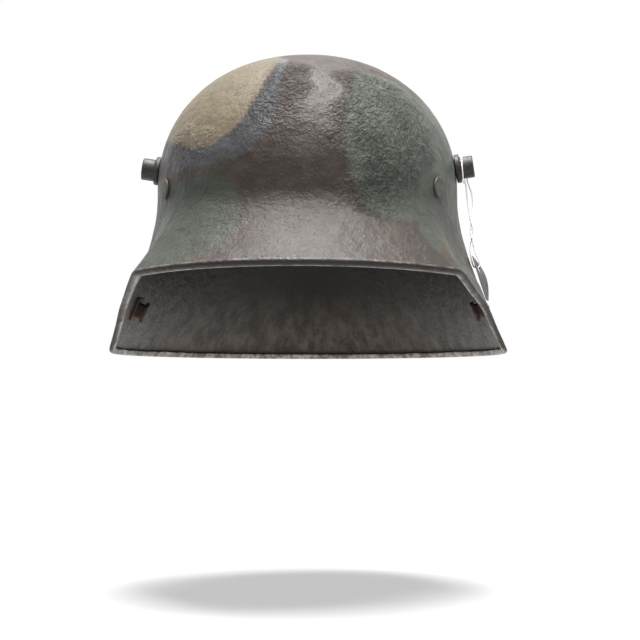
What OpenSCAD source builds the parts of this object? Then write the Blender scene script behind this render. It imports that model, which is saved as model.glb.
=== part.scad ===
// Steel combat helmet of the 1916 pattern with its leather liner, in millimetres.
// The rim rests on z = 0 and the crown is up. The visor points to -Y, and the wearer's left is +X.
// A place on the shell is given by t, the angle round the plan from the visor towards +X,
// and by its height z.

/* [Shell] */
// Height of the crown above the rim
shell_h = 176.5; // [170:0.5:184]
// Thickness of the pressed steel sheet
sheet = 1.2; // [1:0.1:1.5]
// Half width of the bowl at the temples
bowl_half_w = 89; // [86:0.5:92]
// Reach of the bowl at the forehead
bowl_front = 111; // [108:0.5:114]
// Reach of the bowl at the nape
bowl_rear = 113; // [110:0.5:116]
// Height at which the bowl starts to round over to the crown
bowl_z = 95; // [92:0.5:98]
// Squareness of the bowl, where 2 is an ellipse
bowl_power = 2.15; // [2:0.05:2.4]

/* [Visor and skirt] */
// Half width of the skirt, where its sheet would reach the rim
rim_half_w = 119; // [115:0.5:123]
// Reach of the visor and of the neck guard, where their sheet would reach the rim
rim_reach = 151.5; // [146:0.5:157]
// Height of the visor's lip at its middle
lip_z = 46.5; // [42:0.5:50]
// Height of the visor's lip at its corners
lip_corner_z = 40; // [36:0.5:44]
// Angle in plan at which the visor ends and the step begins
lip_end = 49; // [45:1:52]
// Angle in plan at which the step reaches the skirt's rim
step_end = 70; // [66:1:74]
// Height at which the forehead begins to flare
flare_front_z = 88; // [84:0.5:92]
// Height at which the sides begin to flare
flare_side_z = 92; // [88:0.5:94]
// Height at which the nape begins to flare
flare_rear_z = 84; // [80:0.5:88]
// Softness of the bend into the flare at the front and sides
flare_soft_front = 0.45; // [0.35:0.01:0.55]
// Softness of the bend into the flare at the rear
flare_soft_rear = 0.4; // [0.3:0.01:0.5]
// Radius of the rolled rim, half of its thickness
roll_r = 1.5; // [1.3:0.1:1.8]
// Height of the hem that the roll turns up inside the sheet
hem_h = 4; // [3.5:0.1:5]

/* [Vent lugs] */
// Angle in plan of the vent lugs
lug_t = 86; // [82:0.5:90]
// Height of the vent lugs' axes
lug_z = 109; // [107:0.5:112]
// Radius of the lug's outer step, which a brow plate hooks over
lug_r = 6.5; // [6:0.1:7]
// Length of the lug's outer step
lug_l = 7.8; // [7:0.1:9]
// Radius of the lug's shoulder against the shell
shoulder_r = 8.5; // [8:0.1:9]
// Length of the lug's shoulder
shoulder_l = 3; // [2.5:0.1:4]
// Radius of the vent bore through the lug
vent_r = 2.75; // [2.3:0.05:3.2]
// Radius of the lug's shank in the shell
shank_r = 4.8; // [4.5:0.1:5.2]
// Radius of the peened end inside the shell
peen_r = 6.6; // [6.2:0.1:7]
// Thickness of the peened end
peen_l = 1; // [0.8:0.1:1.2]

/* [Liner band] */
// Height of the band's lower edge
band_z = 83; // [80:0.5:85]
// Width of the band
band_w = 23; // [21:0.5:24]
// Thickness of the band's leather
band_t = 2.5; // [2:0.1:3]
// Space between the shell and the band
band_gap = 1.8; // [1.7:0.1:2.4]

/* [Liner rivets] */
// Height of the three liner rivets
rivet_z = 93; // [90:0.5:96]
// Angle in plan of the two front rivets
rivet_t = 60.5; // [59:0.5:62]
// Radius of the flat outer head
rivet_head_r = 6; // [5:0.1:6.5]
// Height of the outer head
rivet_head_h = 1.5; // [1.2:0.1:2]
// Radius of the rivet's shank
rivet_r = 2; // [1.8:0.1:2.4]
// Length of each leg bent over inside
rivet_leg = 7; // [6:0.5:8]
// Thickness of a leg
rivet_leg_t = 1; // [0.8:0.1:1.2]
// Outer radius of the washer under the legs
washer_r = 6; // [5:0.1:6.5]
// Thickness of the washer
washer_t = 0.8; // [0.6:0.1:1]

/* [Liner pads] */
// Half of the angle in plan that the front pad covers
pad_half_t = 54; // [50:1:55]
// Angle in plan at which a side pad begins
side_pad_start = 71; // [70:1:74]
// Angle in plan at which a side pad ends
side_pad_end = 172; // [168:1:173]
// Thickness of the pads' leather
pad_t = 1.8; // [1.5:0.1:2.2]
// Height of the tips of the pads' tongues
pad_top_z = 150; // [144:1:152]
// Height of the root of the slit between two tongues
slit_z = 126; // [124:1:130]
// How far a pad stands in from the band over its cushion
pad_bulge = 7.5; // [6:0.5:9]
// Width of a tongue at its tip, as a share of its width at the root
tongue_taper = 0.55; // [0.4:0.05:0.7]
// Height of the lower edge of the cushions
cushion_z = 98; // [97:0.5:100]
// Height of the cushions
cushion_h = 26; // [22:0.5:28]
// Angle in plan between a pad's end and its cushion's end
cushion_inset_t = 5; // [4:0.5:8]
// Radius of the head of the small rivets that hold the pads to the band
stud_head_r = 2.6; // [2.2:0.1:3]
// Radius of the small rivets' shanks
stud_r = 1; // [0.8:0.1:1.2]
// Height of the small rivets above the band's lower edge
stud_up = 4.5; // [4:0.5:5]
// Radius of the tie cord
tie_r = 0.9; // [0.7:0.1:1.1]
// Half of the distance between the two holes of a tie
tie_half = 6; // [5:0.5:7]

/* [Strap lugs] */
// Angle in plan of the chinstrap lugs
strap_t = 94; // [90:1:98]
// Height of the chinstrap lugs
strap_z = 28; // [24:1:30]
// Width and height of a strap lug's plate
strap_plate = 15; // [13:0.5:16]
// Thickness of the plate
strap_plate_t = 1.2; // [1:0.1:1.5]
// Radius of the neck between plate and head
strap_neck_r = 2.6; // [2.4:0.1:3]
// Length of the neck, which takes the strap's slotted plate
strap_neck_l = 3.5; // [3:0.1:4]
// Length of the oblong head
strap_head_l = 13; // [11:0.5:14]
// Width of the oblong head
strap_head_w = 8; // [7:0.5:9]
// Thickness of the oblong head
strap_head_t = 2.5; // [2:0.1:3]
// Radius of the rivet that holds a strap lug
strap_rivet_r = 1.5; // [1.3:0.1:1.7]
// Radius of that rivet's domed head outside the shell
strap_rivet_head_r = 4.5; // [4:0.1:5]
// Height of that domed head
strap_rivet_head_h = 1.6; // [1.2:0.1:2]

/* [Tag] */
// Width of the tag's card
card_w = 24; // [20:0.5:26]
// Height of the card
card_h = 27; // [24:0.5:30]
// Thickness of the card
card_t = 0.5; // [0.3:0.1:0.6]
// Length of the card's clipped upper corners
card_clip = 6; // [4:0.5:8]
// Radius of the hole in the card
card_hole_r = 2.1; // [1.8:0.1:2.4]
// Radius of the tag's string
string_r = 0.4; // [0.3:0.05:0.45]

/* [Hidden] */
$fn = 48;

// Clearance of a shank in its hole
hole_fit = 0.15;
// Clearance between a flat piece and the curved one that it seats on
seat_fit = 0.08;
// Clearance between two layers whose flat facets stand in from their curves
facet_fit = 0.25;
// Clearance between a soft piece and its neighbour
soft_fit = 0.4;

// Angles in plan of the three liner rivets
rivet_ts = [rivet_t, -rivet_t, 180];
// Depths under the shell's inner surface
band_in = band_gap + band_t;
pad_near = band_in + facet_fit;
pad_z = band_z + 0.5;

// How far a flat disc of radius r stands off a surface of that radius of curvature
function sagitta(r, curve) = r * r / (2 * curve);
function smooth(x) = let (k = max(0, min(1, x))) k * k * (3 - 2 * k);
function unit(v) = v / norm(v);

// Share of the full flare: 0 above the bend, 1 at the rim
function flare_share(u, soft) =
    let (v = max(0, u)) (sqrt(v * v + soft * soft) - soft) / (sqrt(1 + soft * soft) - soft);

// Lowest height of the shell at t: the visor's lip, the step, and the rim on z = 0
function wrapped(t) = abs((t + 540) % 360 - 180);
function rim_z(t) =
    let (a = wrapped(t), lip = lip_z - (lip_z - lip_corner_z) * pow(min(1, a / lip_end), 2))
    lip * (1 - smooth((a - lip_end) / (step_end - lip_end)));

// Point of the outer surface at angle t and height z
function outer(t, z) =
    let (
        c = cos(t),
        front = c > 0,
        bend_z = flare_side_z + ((front ? flare_front_z : flare_rear_z) - flare_side_z) * c * c,
        soft = front ? flare_soft_front : flare_soft_front + (flare_soft_rear - flare_soft_front) * c * c,
        k = max(0, min(1, (z - bowl_z) / (shell_h - bowl_z))),
        dome = pow(1 - pow(k, bowl_power), 1 / bowl_power),
        flare = flare_share((bend_z - z) / (bend_z - rim_z(t)), soft),
        reach = front ? bowl_front : bowl_rear
    )
    [
        (bowl_half_w * dome + (rim_half_w - bowl_half_w) * flare) * sin(t),
        -(reach * dome + (rim_reach - reach) * flare) * c,
        z
    ];

// Outward normal there
function normal(t, z) = unit(cross(outer(t, z - 0.05) - outer(t, z + 0.05), outer(t + 0.5, z) - outer(t - 0.5, z)));

// Point at a depth under the shell's inner surface, where lining pieces lie
function lining(t, z, depth) = outer(t, z) - normal(t, z) * (sheet + depth);

// Depth, along the normal at (t, z), that clears a lining layer within r of there
function seat_depth(t, z, depth, r) =
    let (
        p = outer(t, z),
        n = normal(t, z),
        turn = r / norm(outer(t + 0.5, z) - outer(t - 0.5, z))
    )
    facet_fit + max([for (a = [0 : 45 : 315]) (p - lining(t + turn * cos(a), z + r * sin(a), depth)) * n]);

// Height at which the sheet ends and its roll begins
function roll_start(t) = rim_z(t) + roll_r * (1 + normal(t, rim_z(t) + roll_r).z);

// Frame of the rolled rim at t: its centre, the outward normal and the way down the sheet
function roll_frame(t) =
    let (
        z = roll_start(t),
        p = outer(t, z),
        n = normal(t, z),
        along = unit(outer(t + 0.5, roll_start(t + 0.5)) - outer(t - 0.5, roll_start(t - 0.5))),
        c = p - n * roll_r
    )
    [[c.x, c.y, rim_z(t) + roll_r], n, unit(cross(along, n)), z];

// Half angle of the flat that the roll rests on
rest_half = 16;
// Length of the hem inside, from the roll's end to the bare sheet
hem_step = 0.6;
hem_l = hem_h - roll_r;

// Angles in plan of the columns from visor to nape, closer together at the step
front_columns = 10;
step_columns = 12;
rear_columns = 23;
half_columns = concat(
    [for (i = [0 : front_columns - 1]) i * (lip_end - 4) / front_columns],
    [for (i = [0 : step_columns - 1]) lip_end - 4 + i * (step_end + 9 - lip_end) / step_columns],
    [for (i = [0 : rear_columns]) step_end + 5 + i * (175 - step_end) / rear_columns]
);
columns = concat(half_columns, [for (i = [len(half_columns) - 2 : -1 : 1]) 360 - half_columns[i]]);

// Rows of the shell: dome and skirt outside, roll and hem, skirt and dome inside
dome_rows = 9;
skirt_rows = 11;
inner_dome_rows = 11;
inner_skirt_rows = 8;
function dome_z(share) = bowl_z + (shell_h - bowl_z) * pow(cos(90 * share), 2 / bowl_power);

function shell_column(t) =
    let (
        roll = roll_frame(t),
        c = roll[0],
        n = roll[1],
        d = roll[2],
        end = roll[3],
        rest = atan2(-d.z, -n.z),
        down = outer(t, end) - outer(t, end + 1),
        start_in = end + (hem_l + hem_step) / (down * d),
        angles = [rest / 2, rest - rest_half, rest + rest_half, (rest + 180) / 2, 180]
    )
    concat(
        [for (i = [1 : dome_rows]) outer(t, dome_z(i / dome_rows))],
        [for (i = [1 : skirt_rows]) outer(t, bowl_z + (end - bowl_z) * i / skirt_rows)],
        [for (a = angles) c + (n * cos(a) + d * sin(a)) * roll_r / (abs(abs(a - rest) - rest_half) < 0.1 ? cos(rest_half) : 1)],
        [c - n * roll_r - d * hem_l],
        [for (i = [0 : inner_skirt_rows]) lining(t, start_in + (bowl_z - start_in) * i / inner_skirt_rows, 0)],
        [for (i = [inner_dome_rows - 1 : -1 : 1]) lining(t, dome_z(i / inner_dome_rows), 0)]
    );

// Solid from closed columns of points that run from one pole to another
module closed_skin(rows, top, bottom) {
    n = len(rows);
    m = len(rows[0]);
    points = concat([for (row = rows) each row], [top, bottom]);
    polyhedron(points, concat(
        [for (i = [0 : n - 1]) [n * m, ((i + 1) % n) * m, i * m]],
        [for (i = [0 : n - 1]) [n * m + 1, i * m + m - 1, ((i + 1) % n) * m + m - 1]],
        [for (i = [0 : n - 1], j = [0 : m - 2]) let (a = i * m + j, b = ((i + 1) % n) * m + j) each [[a, b, a + 1], [b, b + 1, a + 1]]]
    ));
}

// Solid between a near and a far grid of points. Cells (i, j) for which cut[i][j] is true are left out.
module slab(near, far, wraps = false, slit = [-1, 0]) {
    n = len(near);
    m = len(near[0]);
    cells = wraps ? n : n - 1;
    function kept(i, j) =
        let (k = wraps ? (i + n) % n : i)
        k >= 0 && k < cells && j >= 0 && j < m - 1 && !(k == slit[0] && j >= slit[1]);
    function quad(a, b, c, d) = [[a, b, c], [a, c, d]];
    points = concat([for (row = near) each row], [for (row = far) each row]);
    f = n * m;
    faces = [for (i = [0 : cells - 1], j = [0 : m - 2]) if (kept(i, j))
        let (a = i * m + j, b = ((i + 1) % n) * m + j)
        each concat(
            quad(a, a + 1, b + 1, b),
            quad(f + a, f + b, f + b + 1, f + a + 1),
            kept(i - 1, j) ? [] : quad(a, f + a, f + a + 1, a + 1),
            kept(i + 1, j) ? [] : quad(b, b + 1, f + b + 1, f + b),
            kept(i, j - 1) ? [] : quad(a, b, f + b, f + a),
            kept(i, j + 1) ? [] : quad(a + 1, f + a + 1, f + b + 1, b + 1)
        )];
    polyhedron(points, faces);
}

// Puts a piece on the shell's outer surface, with +Z along the outward normal and +Y uphill
module on_shell(t, z) {
    n = normal(t, z);
    translate(outer(t, z)) rotate([0, acos(n.z), atan2(n.y, n.x)]) rotate([0, 0, 90]) children();
}

// Copies of a piece for the wearer's left and right, which mirror each other
module mirrored(right) {
    mirror([right ? 1 : 0, 0, 0]) children();
}

module shell() {
    color([0.27, 0.26, 0.24]) difference() {
        rows = [for (t = columns) shell_column(t)];
        closed_skin(rows, [0, 0, shell_h], [0, 0, shell_h - sheet]);
        for (right = [false, true]) {
            mirrored(right) on_shell(lug_t, lug_z) drill(shank_r + hole_fit, sheet);
            mirrored(right) on_shell(strap_t, strap_z) drill(strap_rivet_r + hole_fit, sheet);
        }
        for (t = rivet_ts) on_shell(t, rivet_z) drill(rivet_r + hole_fit, sheet);
    }
}

// Hole through a layer that begins at the shell's outer surface and ends at that depth
module drill(r, depth) {
    over = 2;
    translate([0, 0, -depth - over]) cylinder(r = r, h = depth + 2 * over);
}

// Hollow lug: outer step, shoulder, shank through the shell and peened end
module vent_lug() {
    edge = 0.6;
    seat = seat_fit;
    inner = -seat_depth(lug_t, lug_z, 0, peen_r);
    tip = shoulder_l + lug_l;
    color([0.2, 0.2, 0.19]) on_shell(lug_t, lug_z) rotate_extrude() polygon([
        [vent_r, inner - peen_l],
        [peen_r - edge, inner - peen_l],
        [peen_r, inner - peen_l + edge],
        [peen_r, inner],
        [shank_r, inner],
        [shank_r, seat],
        [shoulder_r, seat],
        [shoulder_r, shoulder_l - edge],
        [shoulder_r - edge, shoulder_l],
        [lug_r, shoulder_l],
        [lug_r, tip - edge],
        [lug_r - edge, tip],
        [vent_r + edge, tip],
        [vent_r, tip - edge]
    ]);
}

module liner_band() {
    step = 5;
    rows = 3;
    function wall(depth) = [for (t = [0 : step : 359]) [for (j = [0 : rows]) lining(t, band_z + band_w * j / rows, depth)]];
    color([0.36, 0.24, 0.15]) difference() {
        slab(wall(band_gap), wall(band_in), wraps = true);
        for (t = rivet_ts) on_shell(t, rivet_z) drill(rivet_r + hole_fit, sheet + band_in);
        for (t = stud_ts()) on_shell(t, band_z + stud_up) drill(stud_r + hole_fit, sheet + band_in);
    }
}

// Depth of a washer's outer face, on the band
function washer_seat(t) = seat_depth(t, rivet_z, band_in, washer_r);

// Flat-headed split rivet with its two legs bent up and down over the washer
module liner_rivet(t) {
    edge = 0.5;
    seat = seat_fit;
    legs = -washer_seat(t) - washer_t - seat_fit;
    color([0.25, 0.24, 0.21]) on_shell(t, rivet_z) {
        rotate_extrude() polygon([
            [0, legs - rivet_leg_t],
            [rivet_r, legs - rivet_leg_t],
            [rivet_r, seat],
            [rivet_head_r, seat],
            [rivet_head_r, seat + rivet_head_h - edge],
            [rivet_head_r - edge, seat + rivet_head_h],
            [0, seat + rivet_head_h]
        ]);
        translate([-rivet_r, -rivet_leg, legs - rivet_leg_t]) cube([2 * rivet_r, 2 * rivet_leg, rivet_leg_t]);
    }
}

module rivet_washers() {
    color([0.42, 0.4, 0.36]) for (t = rivet_ts) on_shell(t, rivet_z)
        translate([0, 0, -washer_seat(t) - washer_t]) difference() {
            cylinder(r = washer_r, h = washer_t);
            translate([0, 0, -1]) cylinder(r = rivet_r + hole_fit, h = washer_t + 2);
        }
}

// Depth of a pad's near face at height z: on the band below, then out over the cushion
function pad_depth(z) =
    let (v = (z - pad_z) / (pad_top_z - pad_z))
    pad_near + pad_bulge * smooth((v - 0.12) / 0.3) * (1 - 0.3 * smooth((v - 0.55) / 0.45));

// Angles of the small rivets of a pad that covers t0 to t1
studs_per_pad = 4;
stud_end_t = 3.5;
function pad_stud_ts(t0, t1) =
    [for (i = [0 : studs_per_pad - 1]) t0 + stud_end_t + i * (t1 - t0 - 2 * stud_end_t) / (studs_per_pad - 1)];
function stud_ts() = concat(
    pad_stud_ts(-pad_half_t, pad_half_t),
    pad_stud_ts(side_pad_start, side_pad_end),
    pad_stud_ts(-side_pad_end, -side_pad_start)
);

// Pad that covers t0 to t1, split into two rounded tongues above its slit
pad_columns = 10;
pad_low_rows = 9;
pad_tongue_rows = 6;
slit_half_t = 1.6;
module liner_pad(t0, t1) {
    n = 2 * pad_columns;
    m = pad_low_rows + pad_tongue_rows;
    middle = (t0 + t1) / 2;
    half = (t1 - t0) / 2;
    function row_z(j) = j <= pad_low_rows
        ? pad_z + (slit_z - pad_z) * j / pad_low_rows
        : slit_z + (pad_top_z - slit_z) * sin(90 * (j - pad_low_rows) / pad_tongue_rows);
    // A tongue narrows about its own middle, and its tip is round
    function narrowing(j) = let (k = max(0, (j - pad_low_rows) / pad_tongue_rows))
        (1 - (1 - tongue_taper) * smooth(k)) * sqrt(1 - 0.85 * pow(k, 6));
    function column_t(i, j) =
        let (
            side = i < pad_columns ? -1 : 1,
            k = i < pad_columns ? (pad_columns - 1 - i) / (pad_columns - 1) : (i - pad_columns) / (pad_columns - 1),
            centre = (half + slit_half_t) / 2,
            width = (half - slit_half_t) / 2
        )
        middle + side * (centre + (2 * k - 1) * width * narrowing(j));
    function wall(extra) = [for (i = [0 : n - 1]) [for (j = [0 : m]) let (z = row_z(j)) lining(column_t(i, j), z, pad_depth(z) + extra)]];
    color([0.38, 0.25, 0.15]) difference() {
        slab(wall(0), wall(pad_t), slit = [pad_columns - 1, pad_low_rows]);
        for (t = pad_stud_ts(t0, t1)) on_shell(t, band_z + stud_up) drill(stud_r + hole_fit, sheet + pad_near + pad_t);
        on_tie(middle) for (side = [-1, 1]) translate([side * tie_hole_x, 0, -pad_t - 2]) cylinder(r = tie_hole_r, h = pad_t + 4);
    }
}

// Crowned cushion between the band and its pad, thin towards its edges
module cushion(t0, t1) {
    n = 14;
    m = 7;
    near = band_in + soft_fit;
    edge = 0.8;
    function far(i, j) =
        let (
            z = cushion_z + cushion_h * j / m,
            room = pad_depth(z) - soft_fit - near,
            across = 1 - pow(abs(2 * i / n - 1), 6),
            up = 1 - pow(j / m, 8)
        )
        near + max(edge, edge + (room - edge) * across * up);
    // The sides draw in between the corners
    function column_t(i, j) = let (w = 2 * i / n - 1) (t0 + t1) / 2 + w * (t1 - t0) / 2 * (1 - 0.03 * sin(180 * j / m));
    function z_of(i, j) = let (w = 2 * i / n - 1) cushion_z + cushion_h * (j / m + 0.03 * (1 - w * w) * (0.5 - j / m));
    color([0.52, 0.47, 0.38]) slab(
        [for (i = [0 : n]) [for (j = [0 : m]) lining(column_t(i, j), z_of(i, j), near)]],
        [for (i = [0 : n]) [for (j = [0 : m]) lining(column_t(i, j), z_of(i, j), far(i, j))]]
    );
}

// Place of a pad's tie: on the pad's near face under the root of the slit
tie_down = 5;
// Distance of the cord from the middle of the leather, and half of its straight run on each face
tie_rise = pad_t / 2 + tie_r + facet_fit + sagitta(tie_half / 2, bowl_half_w);
tie_run = tie_half - tie_rise;
// The holes that the cord's two ends turn through
tie_hole_r = (tie_half + tie_r + hole_fit - tie_run) / 2;
tie_hole_x = tie_run + tie_hole_r;
module on_tie(t) {
    z = slit_z - tie_down;
    on_shell(t, z) translate([0, 0, -sheet - pad_depth(z)]) children();
}

// Tie cord: a loop through the pad's two holes, with a knot and two drooping tails inside
module pad_tie(t) {
    arc = 30;
    tail_off = tie_rise + 0.6;
    knot = 2 * tie_r;
    color([0.7, 0.66, 0.56]) on_tie(t) translate([0, 0, -pad_t / 2]) union() {
        tube(concat(
            [[tie_r / 2, 0, -tie_rise]],
            [for (a = [-90 : arc : 90]) [tie_run + tie_rise * cos(a), 0, tie_rise * sin(a)]],
            [for (a = [90 : arc : 270]) [-tie_run + tie_rise * cos(a), 0, tie_rise * sin(a)]],
            [[-tie_r / 2, 0, -tie_rise]]
        ), tie_r);
        for (side = [-1, 1]) tube([[0, 0, -tie_rise], [side * 3, -2.5, -tail_off], [side * 5.5, -7, -tail_off]], tie_r);
        translate([0, 0, -pad_t / 2 - knot - facet_fit]) sphere(r = knot, $fn = 12);
    }
}

// Small rivets: a low head on the pad's face and a shank through pad and band
module pad_studs() {
    z = band_z + stud_up;
    head_h = 0.9;
    color([0.5, 0.47, 0.38]) for (t = stud_ts()) on_shell(t, z) {
        face = -seat_depth(t, z, pad_depth(z) + pad_t, stud_head_r);
        translate([0, 0, face]) mirror([0, 0, 1]) rotate_extrude() polygon([
            [0, 0], [stud_head_r, 0], [stud_head_r, head_h / 3], [stud_head_r * 0.7, head_h], [0, head_h]
        ]);
        translate([0, 0, face]) cylinder(r = stud_r, h = -sheet - band_gap - face);
    }
}

// Lug for the chinstrap: plate against the shell, round neck and oblong head
module strap_lug() {
    seat = -sheet - seat_fit - sagitta(strap_plate / 2, rim_half_w);
    head = seat - strap_plate_t - strap_neck_l - strap_head_t;
    corner = 2;
    color([0.24, 0.15, 0.11]) on_shell(strap_t, strap_z) difference() {
        union() {
            translate([0, 0, seat - strap_plate_t]) rounded_plate(strap_plate, strap_plate, strap_plate_t, corner);
            translate([0, 0, head]) cylinder(r = strap_neck_r, h = seat - strap_plate_t - head);
            translate([0, 0, head]) rounded_plate(strap_head_w, strap_head_l, strap_head_t, strap_head_w / 2);
        }
        translate([0, 0, head - 1]) cylinder(r = strap_rivet_r + hole_fit, h = seat - head + 2);
    }
}

// Plate with round corners, centred on the axis
module rounded_plate(w, l, h, r) {
    x = w / 2 - r;
    y = l / 2 - r;
    union() {
        if (x > 0) translate([-x, -l / 2, 0]) cube([2 * x, l, h]);
        if (y > 0) translate([-w / 2, -y, 0]) cube([w, 2 * y, h]);
        for (i = [-1, 1], j = [-1, 1]) translate([i * x, j * y, 0]) cylinder(r = r, h = h);
    }
}

// Rivet of a strap lug: domed head outside, shank through shell and lug
module strap_rivet() {
    head = -sheet - seat_fit - sagitta(strap_plate / 2, rim_half_w) - strap_plate_t - strap_neck_l - strap_head_t;
    dome_r = (pow(strap_rivet_head_r, 2) + pow(strap_rivet_head_h, 2)) / (2 * strap_rivet_head_h);
    dome_angle = asin(strap_rivet_head_r / dome_r);
    arcs = 6;
    color([0.3, 0.28, 0.25]) on_shell(strap_t, strap_z) rotate_extrude() polygon(concat(
        [[0, head], [strap_rivet_r, head], [strap_rivet_r, seat_fit]],
        [for (i = [arcs : -1 : 0]) let (a = dome_angle * i / arcs)
            [dome_r * sin(a), seat_fit + strap_rivet_head_h - dome_r + dome_r * cos(a)]]
    ));
}

// The string's route: a turn round the left lug, then down, through the card's hole and up to its knot
string_fit = 0.25;
knot_r = 1.4;
turn_points = 11;
turn_from = 3.7;
turn_to = 5.8;
string_start = [93.0, -8.6, 101.4];
string_hang = [
    [94.5, -0.8, 106.5], [95.0, -0.9, 103], [96.2, -1.3, 99.2], [97.4, -2.0, 95.5], [98.0, -3.0, 91.5],
    [98.2, -4.3, 87.5], [98.0, -5.8, 83.5], [97.6, -7.2, 79.5], [97.2, -8.0, 76], [96.7, -8.5, 72.3],
    [97.3, -9.2, 68.5], [98.1, -8.7, 64.7], [98.9, -8.4, 61.2], [100.2, -8.4, 57.8], [101.5, -8.4, 54.9],
    [102.0, -8.4, 52.6], [101.4, -8.4, 51.1], [99.9, -8.4, 50.5], [98.5, -8.4, 51.2], [97.8, -8.4, 52.8],
    [97.2, -8.4, 55], [96.7, -8.4, 58], [96.5, -8.3, 61.2], [96.8, -8.0, 64.7], [97.5, -7.8, 68.5],
    [98.0, -8.6, 72.3], [97.4, -9.4, 76], [96.5, -9.2, 79.5], [95.8, -9.0, 83.5], [95.2, -8.8, 87.5],
    [94.8, -8.6, 91.5], [94.4, -8.3, 95.5], [94.0, -7.9, 99]
];
string_end = [93.5, -7.5, 101.2];
// Place of the card's upper edge, its lean along the skirt's flare and its turn about the vertical
card_top = [97.7, -8.4, 57];
card_lean = 18;
card_turn = 3;
// Distance of the string's lowest point under the card's upper edge, and the slack of the hole's edge above it
string_drop = (card_top.z - min([for (p = string_hang) p.z])) / cos(card_lean);
hole_slack = 0.45;

// Turn round the lug from below over its front and top to its rear
function string_turn() =
    let (
        p = outer(lug_t, lug_z),
        n = normal(lug_t, lug_z),
        back = unit(cross([0, 0, 1], n)),
        up = cross(n, back),
        r = lug_r + string_r + string_fit
    )
    [for (i = [0 : turn_points - 1]) let (k = i / (turn_points - 1), a = -115 - 245 * k)
        p + n * (turn_from + (turn_to - turn_from) * k) + (back * cos(a) + up * sin(a)) * r];

// The points with one more between each two, on the smooth curve through them
function doubled(p) =
    let (last = len(p) - 1)
    [for (i = [0 : last]) each (i == last
        ? [p[i]]
        : [p[i], (9 * (p[i] + p[i + 1]) - p[max(0, i - 1)] - p[min(last, i + 2)]) / 16])];

// First side vector of each ring, carried along the route without twist
function carried(ways, i, side) =
    i == len(ways) ? [] : let (s = unit(side - ways[i] * (side * ways[i]))) concat([s], carried(ways, i + 1, s));

// Round tube of 8 sides along a route, closed at both ends
module tube(route, r) {
    sides = 8;
    n = len(route);
    ways = [for (i = [0 : n - 1]) unit(route[min(n - 1, i + 1)] - route[max(0, i - 1)])];
    across = carried(ways, 0, cross(ways[0], [0.3, 0.5, 0.8]));
    points = [for (i = [0 : n - 1], k = [0 : sides - 1]) let (a = 360 * k / sides)
        route[i] + (across[i] * cos(a) + cross(ways[i], across[i]) * sin(a)) * r];
    polyhedron(points, concat(
        [[for (k = [0 : sides - 1]) k]],
        [[for (k = [sides - 1 : -1 : 0]) (n - 1) * sides + k]],
        [for (i = [0 : n - 2], k = [0 : sides - 1])
            let (a = i * sides + k, b = i * sides + (k + 1) % sides)
            each [[a, a + sides, b], [b, a + sides, b + sides]]]
    ));
}

module tag_string() {
    route = concat([string_start], string_turn(), doubled(string_hang), [string_end]);
    color([0.9, 0.9, 0.88]) union() {
        tube(route, string_r);
        translate((string_start + string_end) / 2) sphere(r = knot_r, $fn = 12);
    }
}

// Card with clipped upper corners, hung from its hole
module tag_card() {
    hole_down = string_drop - string_r - hole_slack + card_hole_r;
    color([0.45, 0.44, 0.43]) translate(card_top) rotate([0, 0, -card_turn]) rotate([0, -card_lean, 0])
        translate([card_t / 2, 0, 0]) rotate([0, -90, 0]) linear_extrude(card_t) difference() {
            polygon([
                [0, card_clip - card_w / 2], [0, card_w / 2 - card_clip], [-card_clip, card_w / 2],
                [-card_h, card_w / 2], [-card_h, -card_w / 2], [-card_clip, -card_w / 2]
            ]);
            translate([-hole_down, 0]) circle(r = card_hole_r);
        }
}

side_middle = (side_pad_start + side_pad_end) / 2;
side_cushion = [side_pad_start + cushion_inset_t, side_pad_end - cushion_inset_t];

shell();
vent_lug();  // vent_lug_left
mirrored(true) vent_lug();  // vent_lug_right
liner_band();
liner_rivet(rivet_t);  // liner_rivet_front_left
liner_rivet(-rivet_t);  // liner_rivet_front_right
liner_rivet(180);  // liner_rivet_rear
rivet_washers();
liner_pad(-pad_half_t, pad_half_t);  // liner_pad_front
liner_pad(side_pad_start, side_pad_end);  // liner_pad_left
mirrored(true) liner_pad(side_pad_start, side_pad_end);  // liner_pad_right
cushion(-pad_half_t + cushion_inset_t, pad_half_t - cushion_inset_t);  // cushion_front
cushion(side_cushion[0], side_cushion[1]);  // cushion_left
mirrored(true) cushion(side_cushion[0], side_cushion[1]);  // cushion_right
pad_tie(0);  // pad_tie_front
pad_tie(side_middle);  // pad_tie_left
mirrored(true) pad_tie(side_middle);  // pad_tie_right
pad_studs();
strap_lug();  // strap_lug_left
mirrored(true) strap_lug();  // strap_lug_right
strap_rivet();  // strap_rivet_left
mirrored(true) strap_rivet();  // strap_rivet_right
tag_string();
tag_card();
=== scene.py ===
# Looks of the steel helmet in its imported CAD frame: meshes, materials, light and camera
from math import asin, cos, hypot, radians, sin

import bmesh
import bpy
import numpy as np
from mathutils import Matrix, Vector
from mathutils.geometry import delaunay_2d_cdt


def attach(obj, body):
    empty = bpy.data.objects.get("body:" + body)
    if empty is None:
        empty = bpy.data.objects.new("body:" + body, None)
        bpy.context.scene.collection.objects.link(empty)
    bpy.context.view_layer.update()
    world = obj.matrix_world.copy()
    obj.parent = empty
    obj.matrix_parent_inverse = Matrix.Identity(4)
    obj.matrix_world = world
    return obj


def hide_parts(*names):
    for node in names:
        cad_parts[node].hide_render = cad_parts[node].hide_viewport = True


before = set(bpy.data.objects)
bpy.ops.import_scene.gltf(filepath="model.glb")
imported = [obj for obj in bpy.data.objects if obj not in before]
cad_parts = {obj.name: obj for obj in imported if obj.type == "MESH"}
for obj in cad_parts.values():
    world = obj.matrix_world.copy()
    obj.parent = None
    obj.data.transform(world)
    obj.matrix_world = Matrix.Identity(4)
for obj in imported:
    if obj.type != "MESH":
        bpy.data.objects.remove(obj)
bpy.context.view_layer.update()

MM = 0.001

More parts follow.
